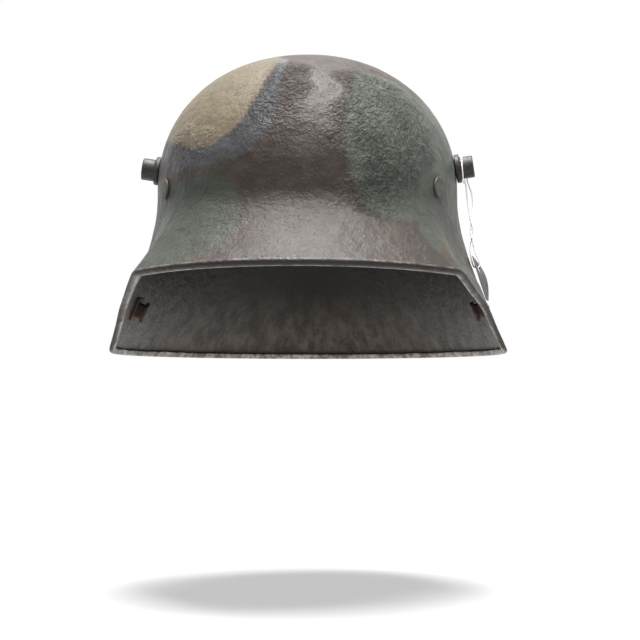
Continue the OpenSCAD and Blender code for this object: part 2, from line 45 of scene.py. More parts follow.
# Shell, in millimetres. The places of its edge are newer than those in the CAD source, all else is as there.
SHELL_H, SHEET = 176.5, 1.2
BOWL_W, BOWL_FRONT, BOWL_REAR, BOWL_Z, POWER = 89, 111, 113, 95, 2.15
RIM_W, RIM_REACH = 119, 151.5
# Edge of the sheet: the lip, and the step to the skirt, whose places are shares of its turn
LIP_Z, LIP_SAG, LIP_END, STEP_START, STEP_END = 42.4, 2, 49, 50, 85
STEP_DROP, STEP_DROP_END, STEP_POWER, STEP_SOFT = 0.18, 0.35, 2.4, 3
STEP_EASE, STEP_EASE_L, STEP_PAST, STEP_FADE = 0.8, 0.15, 1.5, 0.3
# Angle from which the flare is as wide as the skirt's, and the bulge of the skirt's front corner
FLARE_STEP_END = 70
BULGE, BULGE_T, BULGE_SPREAD, BULGE_LOW, BULGE_HIGH = 5, 67, 10, 35, 55
BEND_FRONT, BEND_SIDE, BEND_REAR = 88, 92, 84
SOFT_FRONT, SOFT_REAR = 0.45, 0.4
# Rolled edge at skirt and lip, and the hem inside, which is wider at the skirt's front corner
ROLL_R, LIP_ROLL_R, HEM_H, CORNER_HEM_H, CORNER_T, CORNER_SPREAD = 1.5, 2.3, 4, 4, 60, 13
# Steps of height and angle that give directions on the surface
NEAR_Z, NEAR_T = 0.05, 0.5
# Places of the pieces on the shell: angle in plan from the visor, and height
LUG_T, LUG_Z = 86, 109
RIVET_T, RIVET_Z = 60.5, 93
STRAP_T, STRAP_Z = 94, 28
# Liner
BAND_Z, BAND_W, BAND_T, BAND_GAP = 83, 23, 2.5, 1.8
PAD_HALF_T, SIDE_PAD_START, SIDE_PAD_END = 54, 71, 172
PAD_T, PAD_TOP_Z, SLIT_Z, PAD_BULGE, TONGUE_TAPER = 1.8, 150, 126, 7.5, 0.55
CUSHION_Z, CUSHION_H, CUSHION_INSET_T = 98, 26, 5
STUD_UP, STUD_END_T, STUDS_PER_PAD = 4.5, 3.5, 4
# Clearance of pieces on their seats, and of pieces under layers that are faceted in the solids
SEAT_FIT, FACET_FIT = 0.08, 0.25
BAND_IN = BAND_GAP + BAND_T
PAD_NEAR = BAND_IN + SEAT_FIT
PAD_Z = BAND_Z + 0.5
# Tag
CARD_TOP = np.array([97.7, -8.4, 57])
CARD_W, CARD_H, CARD_T, CARD_CLIP, CARD_HOLE_R = 24, 27, 0.5, 6, 2.1
CARD_LEAN, CARD_TURN = 18, 3
STRING_R = 0.4
STRING_START = [93, -8.6, 101.4]
STRING_HANG = [
    [94.5, -0.8, 106.5], [95, -0.9, 103], [96.2, -1.3, 99.2], [97.4, -2, 95.5], [98, -3, 91.5],
    [98.2, -4.3, 87.5], [98, -5.8, 83.5], [97.6, -7.2, 79.5], [97.2, -8, 76], [96.7, -8.5, 72.3],
    [97.3, -9.2, 68.5], [98.1, -8.7, 64.7], [98.9, -8.4, 61.2], [100.2, -8.4, 57.8], [101.5, -8.4, 54.9],
    [102, -8.4, 52.6], [101.4, -8.4, 51.1], [99.9, -8.4, 50.5], [98.5, -8.4, 51.2], [97.8, -8.4, 52.8],
    [97.2, -8.4, 55], [96.7, -8.4, 58], [96.5, -8.3, 61.2], [96.8, -8, 64.7], [97.5, -7.8, 68.5],
    [98, -8.6, 72.3], [97.4, -9.4, 76], [96.5, -9.2, 79.5], [95.8, -9, 83.5], [95.2, -8.8, 87.5],
    [94.8, -8.6, 91.5], [94.4, -8.3, 95.5], [94, -7.9, 99],
]
STRING_END = [93.5, -7.5, 101.2]


# Shape of the shell, for arrays of angles in degrees and heights in millimetres

def smooth(x):
    x = np.clip(x, 0, 1)
    return x * x * (3 - 2 * x)


def unit(v):
    return v / np.linalg.norm(v, axis=-1, keepdims=True)


def turned_from_front(t):
    return np.abs((t + 180) % 360 - 180)


def lip_z(a):
    return LIP_Z - LIP_SAG * np.minimum(1, a / LIP_END) ** 2


def rim_z(t):
    """Height of the sheet's edge: the lip, a small drop, and the step to the skirt with an eased end."""
    a = turned_from_front(t)
    share = np.clip((a - STEP_START) / (STEP_END - STEP_START), 0, STEP_PAST)
    drop = STEP_DROP * smooth(share / STEP_DROP_END) + (1 - STEP_DROP) * share ** STEP_POWER
    z = lip_z(a) * (1 - drop)
    eased = (z + np.sqrt(z * z + STEP_SOFT ** 2)) / 2
    late = z + (eased - z) * smooth((share - STEP_EASE) / STEP_EASE_L)
    return np.where(share > STEP_EASE, late, z) * smooth((STEP_PAST - share) / STEP_FADE)


def flare_end(t):
    """Height at which the flare is at its widest."""
    a = turned_from_front(t)
    return lip_z(a) * (1 - smooth((a - LIP_END) / (FLARE_STEP_END - LIP_END)))


def roll_r(t):
    return ROLL_R + (LIP_ROLL_R - ROLL_R) * rim_z(t) / LIP_Z


def outer(t, z):
    """Points on the shell's outer face."""
    t, z = np.broadcast_arrays(t, z)
    c, s = np.cos(np.radians(t)), np.sin(np.radians(t))
    front = c > 0
    bend = BEND_SIDE + (np.where(front, BEND_FRONT, BEND_REAR) - BEND_SIDE) * c * c
    soft = np.where(front, SOFT_FRONT, SOFT_FRONT + (SOFT_REAR - SOFT_FRONT) * c * c)
    k = np.clip((z - BOWL_Z) / (SHELL_H - BOWL_Z), 0, 1)
    dome = (1 - k ** POWER) ** (1 / POWER)
    low = np.clip((bend - z) / (bend - flare_end(t)), 0, None)
    flare = (np.sqrt(low * low + soft * soft) - soft) / (np.sqrt(1 + soft * soft) - soft)
    reach = np.where(front, BOWL_FRONT, BOWL_REAR)
    corner = np.exp(-((turned_from_front(t) - BULGE_T) / BULGE_SPREAD) ** 2)
    bulge = BULGE * corner * smooth((BULGE_HIGH - z) / (BULGE_HIGH - BULGE_LOW))
    x = (BOWL_W * dome + (RIM_W - BOWL_W) * flare) * s + bulge * np.sign(s)
    y = -(reach * dome + (RIM_REACH - reach) * flare) * c
    return np.stack([x, y, z], axis=-1)


def normal(t, z):
    down = outer(t, z - NEAR_Z) - outer(t, np.minimum(z + NEAR_Z, SHELL_H))
    along = outer(t + NEAR_T, z) - outer(t - NEAR_T, z)
    return unit(np.cross(down, along))


def lining(t, z, depth):
    """Points at a depth under the shell's inner face."""
    return outer(t, z) - normal(t, z) * np.asarray(SHEET + depth)[..., None]


def pad_depth(z):
    """Depth of the pads' near face, which bulges above the band and falls back higher up."""
    v = (z - PAD_Z) / (PAD_TOP_Z - PAD_Z)
    return PAD_NEAR + PAD_BULGE * smooth((v - 0.12) / 0.3) * (1 - 0.3 * smooth((v - 0.55) / 0.45))


def seat(t, z):
    """Origin and axes (across, uphill, outward) of a piece on the shell's outer surface."""
    n = normal(t, z)
    across = unit(np.cross([0, 0, 1.0], n))
    return outer(t, z), np.stack([across, np.cross(n, across), n])


# Seeded noise on points in millimetres

CELL_FACTORS, SEED_FACTOR = (374761393, 668265263, 2147483629), 1274126177
MIX_FACTOR, WORD = 1103515245, 0xFFFFFFFF


def hashed(cell, seed):
    """Number from 0 to 1 for each cell."""
    h = (cell @ np.array(CELL_FACTORS) + seed * SEED_FACTOR) & WORD
    h = ((h ^ (h >> 13)) * MIX_FACTOR) & WORD
    return ((h ^ (h >> 16)) & WORD) / WORD


def noise(points, size, seed=0):
    """Smooth noise from -1 to 1 with bumps of that size."""
    q = points / size
    cell = np.floor(q).astype(np.int64)
    f = q - cell
    f = f * f * (3 - 2 * f)
    total = 0
    for corner in range(8):
        step = np.array([corner & 1, corner >> 1 & 1, corner >> 2 & 1])
        weight = np.prod(np.where(step, f, 1 - f), axis=-1)
        total = total + weight * hashed(cell + step, seed)
    return 2 * total - 1


def crumbs(points, size, seed=0):
    """1 at scattered places and 0 between them, as lumps of that size."""
    q = points / size
    cell = np.floor(q).astype(np.int64)
    best = np.full(q.shape[:-1], 9.0)
    for i in range(27):
        near = cell + np.array([i % 3, i // 3 % 3, i // 9]) - 1
        spot = near + np.stack([hashed(near, seed + k) for k in range(3)], axis=-1)
        best = np.minimum(best, np.sum((q - spot) ** 2, axis=-1))
    return np.clip(1 - np.sqrt(best), 0, 1)


# Meshes

class Build:
    """Points in millimetres and faces of one piece."""

    def __init__(self):
        self.points, self.faces, self.count = [], [], 0

    def add(self, points, faces):
        self.points.append(np.asarray(points, float).reshape(-1, 3))
        self.faces += [[v + self.count for v in face] for face in faces]
        self.count += len(self.points[-1])

    def loft(self, rings, wraps=False):
        """Skin over closed rings, with ends unless it wraps round to its start."""
        rings = np.asarray(rings, float)
        n, m = rings.shape[:2]
        faces = []
        for i in range(n if wraps else n - 1):
            a, b = i * m, (i + 1) % n * m
            faces += [[a + j, a + (j + 1) % m, b + (j + 1) % m, b + j] for j in range(m)]
        points = rings.reshape(-1, 3)
        if not wraps:
            points = np.vstack([points, rings[0].mean(0), rings[-1].mean(0)])
            faces += [[n * m, (j + 1) % m, j] for j in range(m)]
            top = (n - 1) * m
            faces += [[n * m + 1, top + j, top + (j + 1) % m] for j in range(m)]
        self.add(points, faces)

    def lathe(self, profile, place, sides=72, closed=False):
        """Turned form about a place's outward axis. The profile is (radius, height), from inside out."""
        angles = np.arange(sides) * 2 * np.pi / sides
        rings = [[[r * np.cos(a), r * np.sin(a), h] for a in angles] for r, h in profile]
        self.loft(put(rings, place), closed)


def linked(name, data):
    """New object in the scene."""
    obj = bpy.data.objects.new(name, data)
    bpy.context.scene.collection.objects.link(obj)
    return obj


def put(points, place):
    """Moves points from a place's axes to the frame."""
    origin, axes = place
    return origin + points @ axes


def piece(node, form, build, material, mirror=False, body="helmet", levels=0, fields=None, replaces=True):
    """Makes a mesh object, in metres, with its material, ties it to its body and hides the CAD part of its
    node when it replaces it.
    """
    points = np.vstack(build.points) * MM
    faces = build.faces
    if mirror:
        points[:, 0] *= -1
        faces = [face[::-1] for face in faces]
    name = f"{node}_{form}"
    mesh = bpy.data.meshes.new(name)
    mesh.from_pydata(points.tolist(), [], faces)
    mesh.validate()
    shape = bmesh.new()
    shape.from_mesh(mesh)
    bmesh.ops.recalc_face_normals(shape, faces=shape.faces)
    shape.to_mesh(mesh)
    shape.free()
    for field, values in (fields or {}).items():
        mesh.attributes.new(field, "FLOAT", "POINT").data.foreach_set("value", np.asarray(values, np.float32))
    mesh.shade_smooth()
    mesh.materials.append(material)
    obj = linked(name, mesh)
    if levels:
        soften = obj.modifiers.new("soften", "SUBSURF")
        soften.levels = soften.render_levels = levels
        bpy.context.view_layer.objects.active = obj
        bpy.ops.object.modifier_apply(modifier=soften.name)
    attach(obj, body)
    if replaces:
        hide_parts(node)
    return obj


# Steps in a rounded corner and in a rounded edge
CORNER_STEPS, EDGE_STEPS = 6, 5


def rounded_outline(w, l, corner):
    """Points round a rectangle with round corners."""
    points = []
    for i, (x, y) in enumerate([(1, 1), (-1, 1), (-1, -1), (1, -1)]):
        for k in range(CORNER_STEPS + 1):
            a = radians(90 * (i + k / CORNER_STEPS))
            points.append([x * (w / 2 - corner) + corner * cos(a),
                           y * (l / 2 - corner) + corner * sin(a)])
    return points


def rounded_block(build, place, w, l, corner, low, high, edge):
    """Block with a rounded outline and rounded edges, between two heights."""
    angles = np.linspace(0, np.pi / 2, EDGE_STEPS)
    insets = [(edge * (1 - sin(a)), edge * (1 - cos(a))) for a in angles]
    levels = [(inset, low + rise) for inset, rise in insets]
    levels += [(inset, high - rise) for inset, rise in insets[::-1]]
    build.loft(put([[[x, y, z] for x, y in rounded_outline(w - 2 * inset, l - 2 * inset, corner - inset)]
                    for inset, z in levels], place))


def sweep(build, route, r, sides, strands, lay, depth):
    """Cord along a route, with the lobes of its twisted strands."""
    ways = unit(np.gradient(route, axis=0))
    arc = np.concatenate([[0], np.cumsum(np.linalg.norm(np.diff(route, axis=0), axis=1))])
    angles = np.arange(sides) * 2 * np.pi / sides
    side = np.cross(ways[0], [0.3, 0.5, 0.8])
    rings = []
    for p, way, s in zip(route, ways, arc):
        side = unit(side - way * (side @ way))
        other = np.cross(way, side)
        reach = r * (1 + depth * np.cos(strands * angles - 2 * np.pi * s / lay))
        rings.append([p + (side * cos(a) + other * sin(a)) * q for a, q in zip(angles, reach)])
    build.loft(rings)


def trefoil(size):
    """Closed route of a knot."""
    u = np.linspace(0, 2 * np.pi, 73)
    knot = [np.sin(u) + 2 * np.sin(2 * u), np.cos(u) - 2 * np.cos(2 * u), -np.sin(3 * u)]
    return np.stack(knot, axis=1) * size


def smooth_route(points, per):
    """Points on the smooth curve through a route's points."""
    p = np.asarray(points, float)
    p = np.vstack([2 * p[0] - p[1], p, 2 * p[-1] - p[-2]])
    route = []
    for i in range(1, len(p) - 2):
        for k in range(per):
            u = k / per
            route.append(0.5 * (2 * p[i] + (p[i + 1] - p[i - 1]) * u
                                + (2 * p[i - 1] - 5 * p[i] + 4 * p[i + 1] - p[i + 2]) * u ** 2
                                + (3 * p[i] - 3 * p[i + 1] + p[i + 2] - p[i - 1]) * u ** 3))
    return np.array(route + [p[-2]])


# Materials: small helpers over the shader nodes

class Graph:
    """Shader graph of one material or world."""

    def __init__(self, owner):
        owner.use_nodes = True
        self.tree = owner.node_tree
        self.tree.nodes.clear()

    def node(self, kind, inputs, **settings):
        """Outputs of a new node. An input of None stays as it is."""
        node = self.tree.nodes.new("ShaderNode" + kind)
        for key, value in settings.items():
            setattr(node, key, value)
        for key, value in inputs.items():
            socket = node.inputs[key]
            if isinstance(value, bpy.types.NodeSocket):
                self.tree.links.new(value, socket)
            elif value is not None:
                socket.default_value = (*value, 1) if socket.type == "RGBA" else value
        return node.outputs

    def coords(self):
        return self.node("TexCoord", {})["Object"]

    def axes(self):
        return self.node("SeparateXYZ", {0: self.coords()})

    def field(self, name):
        return self.node("Attribute", {}, attribute_name=name)["Fac"]

    def math(self, operation, a, b):
        return self.node("Math", {0: a, 1: b}, operation=operation)[0]

    def times(self, a, b):
        return self.math("MULTIPLY", a, b)

    def noise(self, scale, detail, rough=0.55, stretch=None):
        vector = self.coords()
        if stretch:
            vector = self.node("Mapping", {"Vector": vector, "Scale": stretch})[0]
        inputs = {"Vector": vector, "Scale": scale, "Detail": detail, "Roughness": rough}
        return self.node("TexNoise", inputs)[0]

    def cells(self, scale):
        """Distance to the nearest of scattered points."""
        return self.node("TexVoronoi", {"Vector": self.coords(), "Scale": scale})["Distance"]

    def ramp(self, value, low, high, start=0.0, end=1.0):
        """Smooth step of a value between two limits."""
        return self.node("MapRange", {0: value, 1: low, 2: high, 3: start, 4: end},
                         interpolation_type="SMOOTHSTEP")[0]

    def mix(self, share, a, b):
        return self.node("Mix", {0: share, 6: a, 7: b}, data_type="RGBA")[2]

    def stain(self, color, share, amount, over):
        """Colour with so much of another one over its share."""
        return self.mix(self.times(share, amount), color, over)

    def bump(self, height, strength, distance, below=None):
        inputs = {"Height": height, "Strength": strength, "Distance": distance, "Normal": below}
        return self.node("Bump", inputs)[0]

    def surface(self, color, rough, metal=0.0, bump=None, specular=0.5, sheen=0.0):
        self.end(self.node("BsdfPrincipled", {
            "Base Color": color, "Roughness": rough, "Metallic": metal, "Specular IOR Level": specular,
            "Sheen Weight": sheen, "Normal": bump}))

    def end(self, shader, kind="Material"):
        self.node(f"Output{kind}", {"Surface": shader[0]})


def rgb(r, g, b):
    """Linear colour of an 8-bit one."""
    return tuple((c / 255 / 12.92) if c <= 10 else ((c / 255 + 0.055) / 1.055) ** 2.4 for c in (r, g, b))


def material(name):
    made = bpy.data.materials.new(name)
    return made, Graph(made)


def camouflage():
    """Old brush-painted camouflage in four dull colours, rubbed and rusty at the rim, with painted light and
    shade.
    """
    made, g = material("camouflage_paint")
    axes = g.axes()
    x, z = axes["X"], axes["Z"]
    broad, fine, ragged = g.noise(28, 4), g.noise(160, 4), g.noise(420, 3, 0.6)
    mottled = g.ramp(g.noise(55, 5, 0.65), 0.3, 0.7)
    grain = g.ramp(fine, 0.3, 0.72)

    def strays(pattern, reach):
        """Millimetres by which the edge of a patch follows a pattern."""
        return g.times(g.math("SUBTRACT", pattern, 0.5), reach)

    def patch(name, soft, by):
        """Share of a patch's paint, with an edge as soft as those millimetres."""
        return g.ramp(g.math("ADD", g.field(name), by), soft, -soft)

    brown = g.mix(mottled, rgb(41, 36, 32), rgb(59, 52, 47))
    brown = g.stain(brown, grain, 0.34, rgb(68, 60, 56))
    ochre = g.mix(mottled, rgb(83, 74, 59), rgb(98, 89, 72))
    ochre = g.stain(ochre, grain, 0.35, rgb(109, 100, 84))
    # Painted shade: the ochre low on the sides is darker. Painted highlight: near the crown the ochre and the
    # slate are paler, as a sheen.
    ochre = g.mix(g.ramp(z, 0.105, 0.07, 0, 0.85), ochre, rgb(66, 61, 48))
    ochre = g.mix(g.ramp(z, 0.13, 0.165, 0, 0.6), ochre, rgb(84, 77, 63))
    slate = g.mix(mottled, rgb(50, 49, 49), rgb(74, 74, 77))
    slate = g.mix(g.ramp(z, 0.15, 0.17, 0, 0.8), slate, rgb(98, 96, 97))
    # Painted shade: the green is darker on the helmet's right side, which gets less light
    green = g.mix(mottled, rgb(56, 60, 53), rgb(79, 84, 76))
    green = g.mix(g.ramp(x, 0.01, -0.03, 0, 0.65), green, rgb(40, 43, 36))
    stray = g.math("ADD", g.math("ADD", strays(broad, 16), strays(fine, 5)), strays(ragged, 1.6))
    color = g.mix(patch("green", 2.5, stray), brown, green)
    color = g.mix(patch("slate", 2, stray), color, slate)
    color = g.mix(patch("ochre", 1.1, strays(broad, 12)), color, ochre)

    # Dark streaks and pits, then pale bare flakes in the rough parts
    streaks = g.ramp(g.noise(60, 4, 0.7, (3.2, 1, 0.5)), 0.62, 0.78)
    color = g.stain(color, streaks, 0.28, rgb(30, 26, 23))
    pits = g.times(g.ramp(g.cells(330), 0.2, 0.1), g.ramp(g.noise(45, 3), 0.46, 0.62))
    color = g.stain(color, pits, 0.75, rgb(22, 18, 16))
    rough_part = g.field("rough")
    flakes = g.times(g.ramp(g.noise(900, 3, 0.7), 0.6, 0.72), rough_part)
    color = g.stain(color, flakes, 0.35, rgb(112, 106, 98))
    # Painted shade where the flare starts at the left side
    left_flare_shade = g.times(g.ramp(x, 0.045, 0.08), g.ramp(z, 0.1, 0.075))
    color = g.stain(color, left_flare_shade, g.ramp(broad, 0.25, 0.6, 0.35, 0.65), rgb(34, 31, 28))
    # Rim: painted shade darkens the roll. A painted highlight along its upper edge and the hem rubbed to bare
    # metal lighten it, with spots of rust.
    color = g.stain(color, g.field("rim"), 0.9, rgb(30, 27, 25))
    edge_highlight_and_scuffs = g.mix(g.ramp(g.noise(170, 4, 0.7), 0.4, 0.62), rgb(92, 84, 78), rgb(164, 156, 149))
    edge_highlight_and_scuffs = g.stain(edge_highlight_and_scuffs, g.ramp(g.noise(210, 4, 0.7), 0.56, 0.68), 0.6, rgb(88, 64, 50))
    color = g.stain(color, g.field("worn"), 0.9, edge_highlight_and_scuffs)
    # Inside: dull paint with streaks and patches of rust, dark at the hem's seam, with painted shade high up
    streaky = g.ramp(g.noise(150, 4, 0.65, (1, 1, 0.22)), 0.35, 0.68)
    lining_color = g.mix(streaky, rgb(50, 45, 40), rgb(79, 72, 66))
    rusted = g.ramp(g.noise(95, 5, 0.7), 0.55, 0.74)
    lining_color = g.stain(lining_color, rusted, 0.5, rgb(97, 70, 56))
    # Painted shade: the inside is darker high up
    lining_color = g.stain(lining_color, g.ramp(z, 0.006, 0.05), 0.95, rgb(22, 20, 16))
    color = g.mix(g.field("inside"), color, lining_color)
    color = g.stain(color, g.field("seam"), 0.75, rgb(40, 32, 27))

    lumps = g.bump(g.noise(150, 5, 0.62), 0.6, 0.0022)
    grit = g.bump(g.noise(620, 4, 0.7), 0.6, 0.0007, lumps)
    cut = g.bump(pits, 0.6, -0.0006, grit)
    crust = g.math("ADD", g.ramp(g.noise(430, 3, 0.6), 0.42, 0.6), g.noise(900, 3, 0.7))
    relief = g.bump(g.times(crust, rough_part), 1, 0.0015, cut)
    g.surface(color, g.ramp(fine, 0.2, 0.8, 0.32, 0.48), bump=relief, specular=0.16)
    return made


def worn_paint(name, dark, light, rust=0.25):
    """Thick dull paint on a small steel piece."""
    made, g = material(name)
    color = g.mix(g.ramp(g.noise(260, 4), 0.32, 0.68), dark, light)
    color = g.stain(color, g.ramp(g.noise(420, 4, 0.7), 0.58, 0.7), rust, rgb(104, 68, 48))
    relief = g.bump(g.noise(600, 4), 0.45, 0.0006)
    g.surface(color, g.ramp(g.noise(300, 2), 0.3, 0.7, 0.42, 0.6), bump=relief, specular=0.3)
    return made


def rusty():
    """Dark steel that rusts, more so towards its lower end."""
    made, g = material("rusty_steel")
    low = g.ramp(g.axes()["Z"], 0.028, 0.02)
    patches = g.ramp(g.noise(240, 5, 0.7), 0.36, 0.6)
    color = g.mix(g.ramp(g.noise(420, 4), 0.35, 0.7), rgb(24, 21, 18), rgb(42, 37, 33))
    share = g.times(g.math("ADD", g.times(low, 0.75), 0.1), patches)
    color = g.mix(share, color, g.mix(g.noise(700, 3), rgb(66, 40, 27), rgb(100, 62, 42)))
    g.surface(color, 0.66, 0.1, g.bump(g.noise(620, 5, 0.7), 0.6, 0.0007), 0.4)
    return made


def plain_metal(name, color, rough, metal):
    made, g = material(name)
    shade = g.mix(g.ramp(g.noise(320, 4), 0.3, 0.75), color, tuple(c * 0.62 for c in color))
    g.surface(shade, g.ramp(g.noise(500, 3), 0.3, 0.7, rough - 0.1, rough + 0.1), metal,
              g.bump(g.noise(800, 3), 0.25, 0.0003))
    return made


def leather(name, dark, light):
    """Old brown leather with a fine pebbled grain and creases."""
    made, g = material(name)
    color = g.mix(g.ramp(g.noise(38, 5), 0.3, 0.7), dark, light)
    grain = g.cells(900)
    color = g.stain(color, g.ramp(grain, 0.35, 0.7), 0.3, dark)
    creases = g.ramp(g.noise(75, 5, 0.7, (1, 1, 2.5)), 0.56, 0.64)
    relief = g.bump(grain, 0.4, -0.0004)
    relief = g.bump(g.noise(90, 5), 0.5, 0.0012, relief)
    relief = g.bump(creases, 0.4, -0.0008, relief)
    g.surface(color, g.ramp(g.noise(120, 4), 0.3, 0.7, 0.48, 0.72), bump=relief, specular=0.4)
    return made


def cloth(name, dark, light):
    """Coarse plain weave."""
    made, g = material(name)
    color = g.mix(g.ramp(g.noise(60, 4), 0.3, 0.7), dark, light)
    waves = [g.node("TexWave", {"Vector": g.coords(), "Scale": 380}, bands_direction=axis)["Fac"]
             for axis in ("X", "Z")]
    weave = g.times(*waves)
    color = g.stain(color, weave, 0.35, light)
    g.surface(color, 0.92, bump=g.bump(weave, 0.5, 0.0004), specular=0.15, sheen=0.25)
    return made


def fibres(name, dark, light):
    made, g = material(name)
    color = g.mix(g.ramp(g.noise(700, 4), 0.3, 0.7), dark, light)
    g.surface(color, 0.9, bump=g.bump(g.noise(2600, 3), 0.5, 0.0002), specular=0.2, sheen=0.2)
    return made


def card_stock():
    made, g = material("grey_card")
    color = g.mix(g.ramp(g.noise(90, 4), 0.3, 0.7), rgb(74, 72, 71), rgb(90, 88, 86))
    color = g.stain(color, g.ramp(g.noise(900, 3), 0.55, 0.75), 0.3, rgb(112, 109, 106))
    g.surface(color, 0.88, bump=g.bump(g.noise(1500, 3), 0.25, 0.00015), specular=0.2)
    return made


PAINT = camouflage()
LUG_PAINT = worn_paint("lug_paint", rgb(21, 21, 18), rgb(38, 38, 34))
RIVET_PAINT = worn_paint("rivet_paint", rgb(48, 48, 43), rgb(72, 70, 63), 0.15)
RUSTY = rusty()
BARE_STEEL = plain_metal("bare_steel", rgb(122, 117, 110), 0.45, 0.85)
STUD_METAL = plain_metal("stud_metal", rgb(150, 132, 88), 0.4, 0.9)
BAND_LEATHER = leather("band_leather", rgb(58, 38, 26), rgb(92, 64, 43))
PAD_LEATHER = leather("pad_leather", rgb(74, 50, 34), rgb(116, 84, 58))
CUSHION_CLOTH = cloth("cushion_cloth", rgb(132, 122, 104), rgb(172, 163, 143))
TIE_CORD = fibres("tie_cord", rgb(110, 95, 72), rgb(146, 130, 102))
WHITE_COTTON = fibres("white_cotton", rgb(228, 227, 225), rgb(246, 245, 243))
GREY_CARD = card_stock()


# Shell

# Share of each side that a corner's cut takes off, and how often the corners are cut
CUT, CUTS = 0.2, 3
# Distance that stands for "far from any patch"
FAR = 60.0


def rounded_loop(values):
    """Values round a loop with its corners cut off."""
    for _ in range(CUTS):
        ahead = np.roll(values, -1)
        near, far = (1 - CUT) * values + CUT * ahead, CUT * values + (1 - CUT) * ahead
        values = np.stack([near, far], axis=1).reshape(-1)
    return values


def side_distance(points, normals, corners):
    """Millimetres from each point to a patch with those corners (t, z), less than 0 inside it."""
    t, z = (rounded_loop(values) for values in np.array(corners, float).T)
    spots = outer(t, z)
    centre = spots.mean(0)
    out = unit(normal(t, z).mean(0))
    across = unit(np.cross([0, 0, 1.0], out))
    axes = np.stack([across, np.cross(out, across)])
    p = (points - centre) @ axes.T
    q = (spots - centre) @ axes.T
    best = np.full(len(p), 1e9)
    inside = np.zeros(len(p), bool)
    for a, b in zip(q, np.roll(q, -1, axis=0)):
        edge = b - a
        share = np.clip(((p - a) @ edge) / (edge @ edge), 0, 1)
        best = np.minimum(best, np.linalg.norm(p - a - share[:, None] * edge, axis=1))
        crosses = (a[1] > p[:, 1]) != (b[1] > p[:, 1])
        with np.errstate(divide="ignore", invalid="ignore"):
            at = a[0] + (p[:, 1] - a[1]) * edge[0] / edge[1]
        inside ^= crosses & (p[:, 0] < at)
    signed = np.where(inside, -best, best)
    return np.where(normals @ out > 0.05, signed, FAR)


# Corners (t, z) of the patches of paint, and of those where it is crusted
OCHRE = [
    [(-18, 170), (-14, 164), (-13, 150), (-15, 139), (-21, 127), (-27, 117), (-34, 112), (-42, 111),
     (-51, 115), (-63, 122), (-85, 128), (-100, 140), (-105, 158), (-93, 170), (-45, 173)],
    [(56, 65), (64, 67), (67, 60), (66, 54), (62, 48), (56, 45), (48, 43), (46, 49), (49, 57)],
    [(77, 78), (90, 83), (106, 80), (118, 66), (114, 48), (98, 40), (84, 40), (72, 46), (75, 56),
     (76, 66)],
    [(150, 150), (175, 160), (200, 150), (195, 125), (170, 118), (150, 128)],
    [(215, 70), (240, 84), (262, 76), (262, 50), (240, 40), (220, 50)],
]
SLATE = [
    [(-6, 165), (-5, 150), (-6, 132), (-12, 118), (-20, 107), (-33, 101), (-50, 101), (-66, 106),
     (-65, 124), (-42, 112), (-28, 118), (-20, 130), (-12, 155), (-15, 168)],
    [(200, 120), (222, 128), (226, 100), (212, 80), (196, 92)],
    [(120, 60), (138, 70), (140, 44), (125, 30), (112, 36)],
    [(168, 30), (200, 36), (225, 28), (205, 12), (172, 12)],
]
GREEN = [
    [(-53, 92), (-37, 98), (-24, 95), (-20, 84), (-19, 66), (-20, 54), (-30, 47), (-50, 42), (-75, 40),
     (-95, 60), (-90, 88), (-70, 98)],
    [(28, 155), (21, 140), (18, 125), (18, 108), (20, 92), (25, 81), (31, 73), (42, 70), (57, 71),
     (70, 84), (84, 104), (90, 122), (84, 137), (70, 148), (48, 156), (36, 158)],
    [(44, 70), (44, 58), (46, 50), (58, 60), (66, 66), (66, 54), (62, 44), (68, 40), (74, 50), (77, 72),
     (78, 92), (62, 88)],
    [(140, 95), (170, 105), (195, 92), (190, 60), (160, 50), (138, 65)],
    [(225, 140), (250, 155), (262, 130), (250, 105), (228, 108)],
]
CRUSTED = [
    [(20, 152), (40, 158), (58, 150), (56, 120), (50, 96), (38, 78), (24, 76), (20, 100), (17, 125)],
    [(-10, 160), (0, 160), (4, 146), (0, 130), (-10, 126), (-14, 140)],
    [(-60, 118), (-45, 122), (-36, 112), (-50, 104)],
    [(160, 140), (190, 146), (200, 120), (180, 100), (160, 112)],
]
PATCHES = {"ochre": OCHRE, "slate": SLATE, "green": GREEN, "crusted": CRUSTED}


# Rows of the shell's mesh, from the crown down the outer face and back up the inner face
ROWS = {"out": 230, "roll": 14, "hem": 4, "seam": 3, "in": 128}
# Share of the rows on the outer and the inner face that lies on the dome
OUT_DOME, IN_DOME = 0.46, 0.5
# Rows from the hem to its seam, as shares of the roll's radius and the hem's width
HEM = ((1, 0.4), (1, 0.75), (0.92, 0.93), (0.7, 1), (0.2, 0.98), (-0.05, 0.8))
# From the last outer row on: a painted highlight on the roll's upper edge, its painted shade lifting towards
# the inner edge, and the hem rubbed to bare metal.
EDGE_HIGHLIGHT_AND_WEAR = (0.3, 0.35, 0.1, 0, 0, 0, 0, 0.05, 0.15, 0.3, 0.5, 0.7, 0.9, 1, 1, 1, 1, 1, 1)
# Hole for the vent lugs' shanks
HOLE_R, HOLE_DEPTH = 4.3, 6


def shell_columns():
    """Angles of the mesh's columns, closer together at the step from visor to skirt."""
    front = np.arange(0, 45, 0.75)
    step = np.arange(45, 79, 0.5)
    rear = np.linspace(79, 180, 114)
    half = np.concatenate([front, step, rear])
    return np.concatenate([half, 360 - half[-2:0:-1]])


def dome_z(share):
    return BOWL_Z + (SHELL_H - BOWL_Z) * np.cos(np.pi / 2 * share) ** (2 / POWER)


def roll_start(t):
    rim, r = rim_z(t), roll_r(t)
    return rim + r * (1 + normal(t, rim + r)[..., 2])


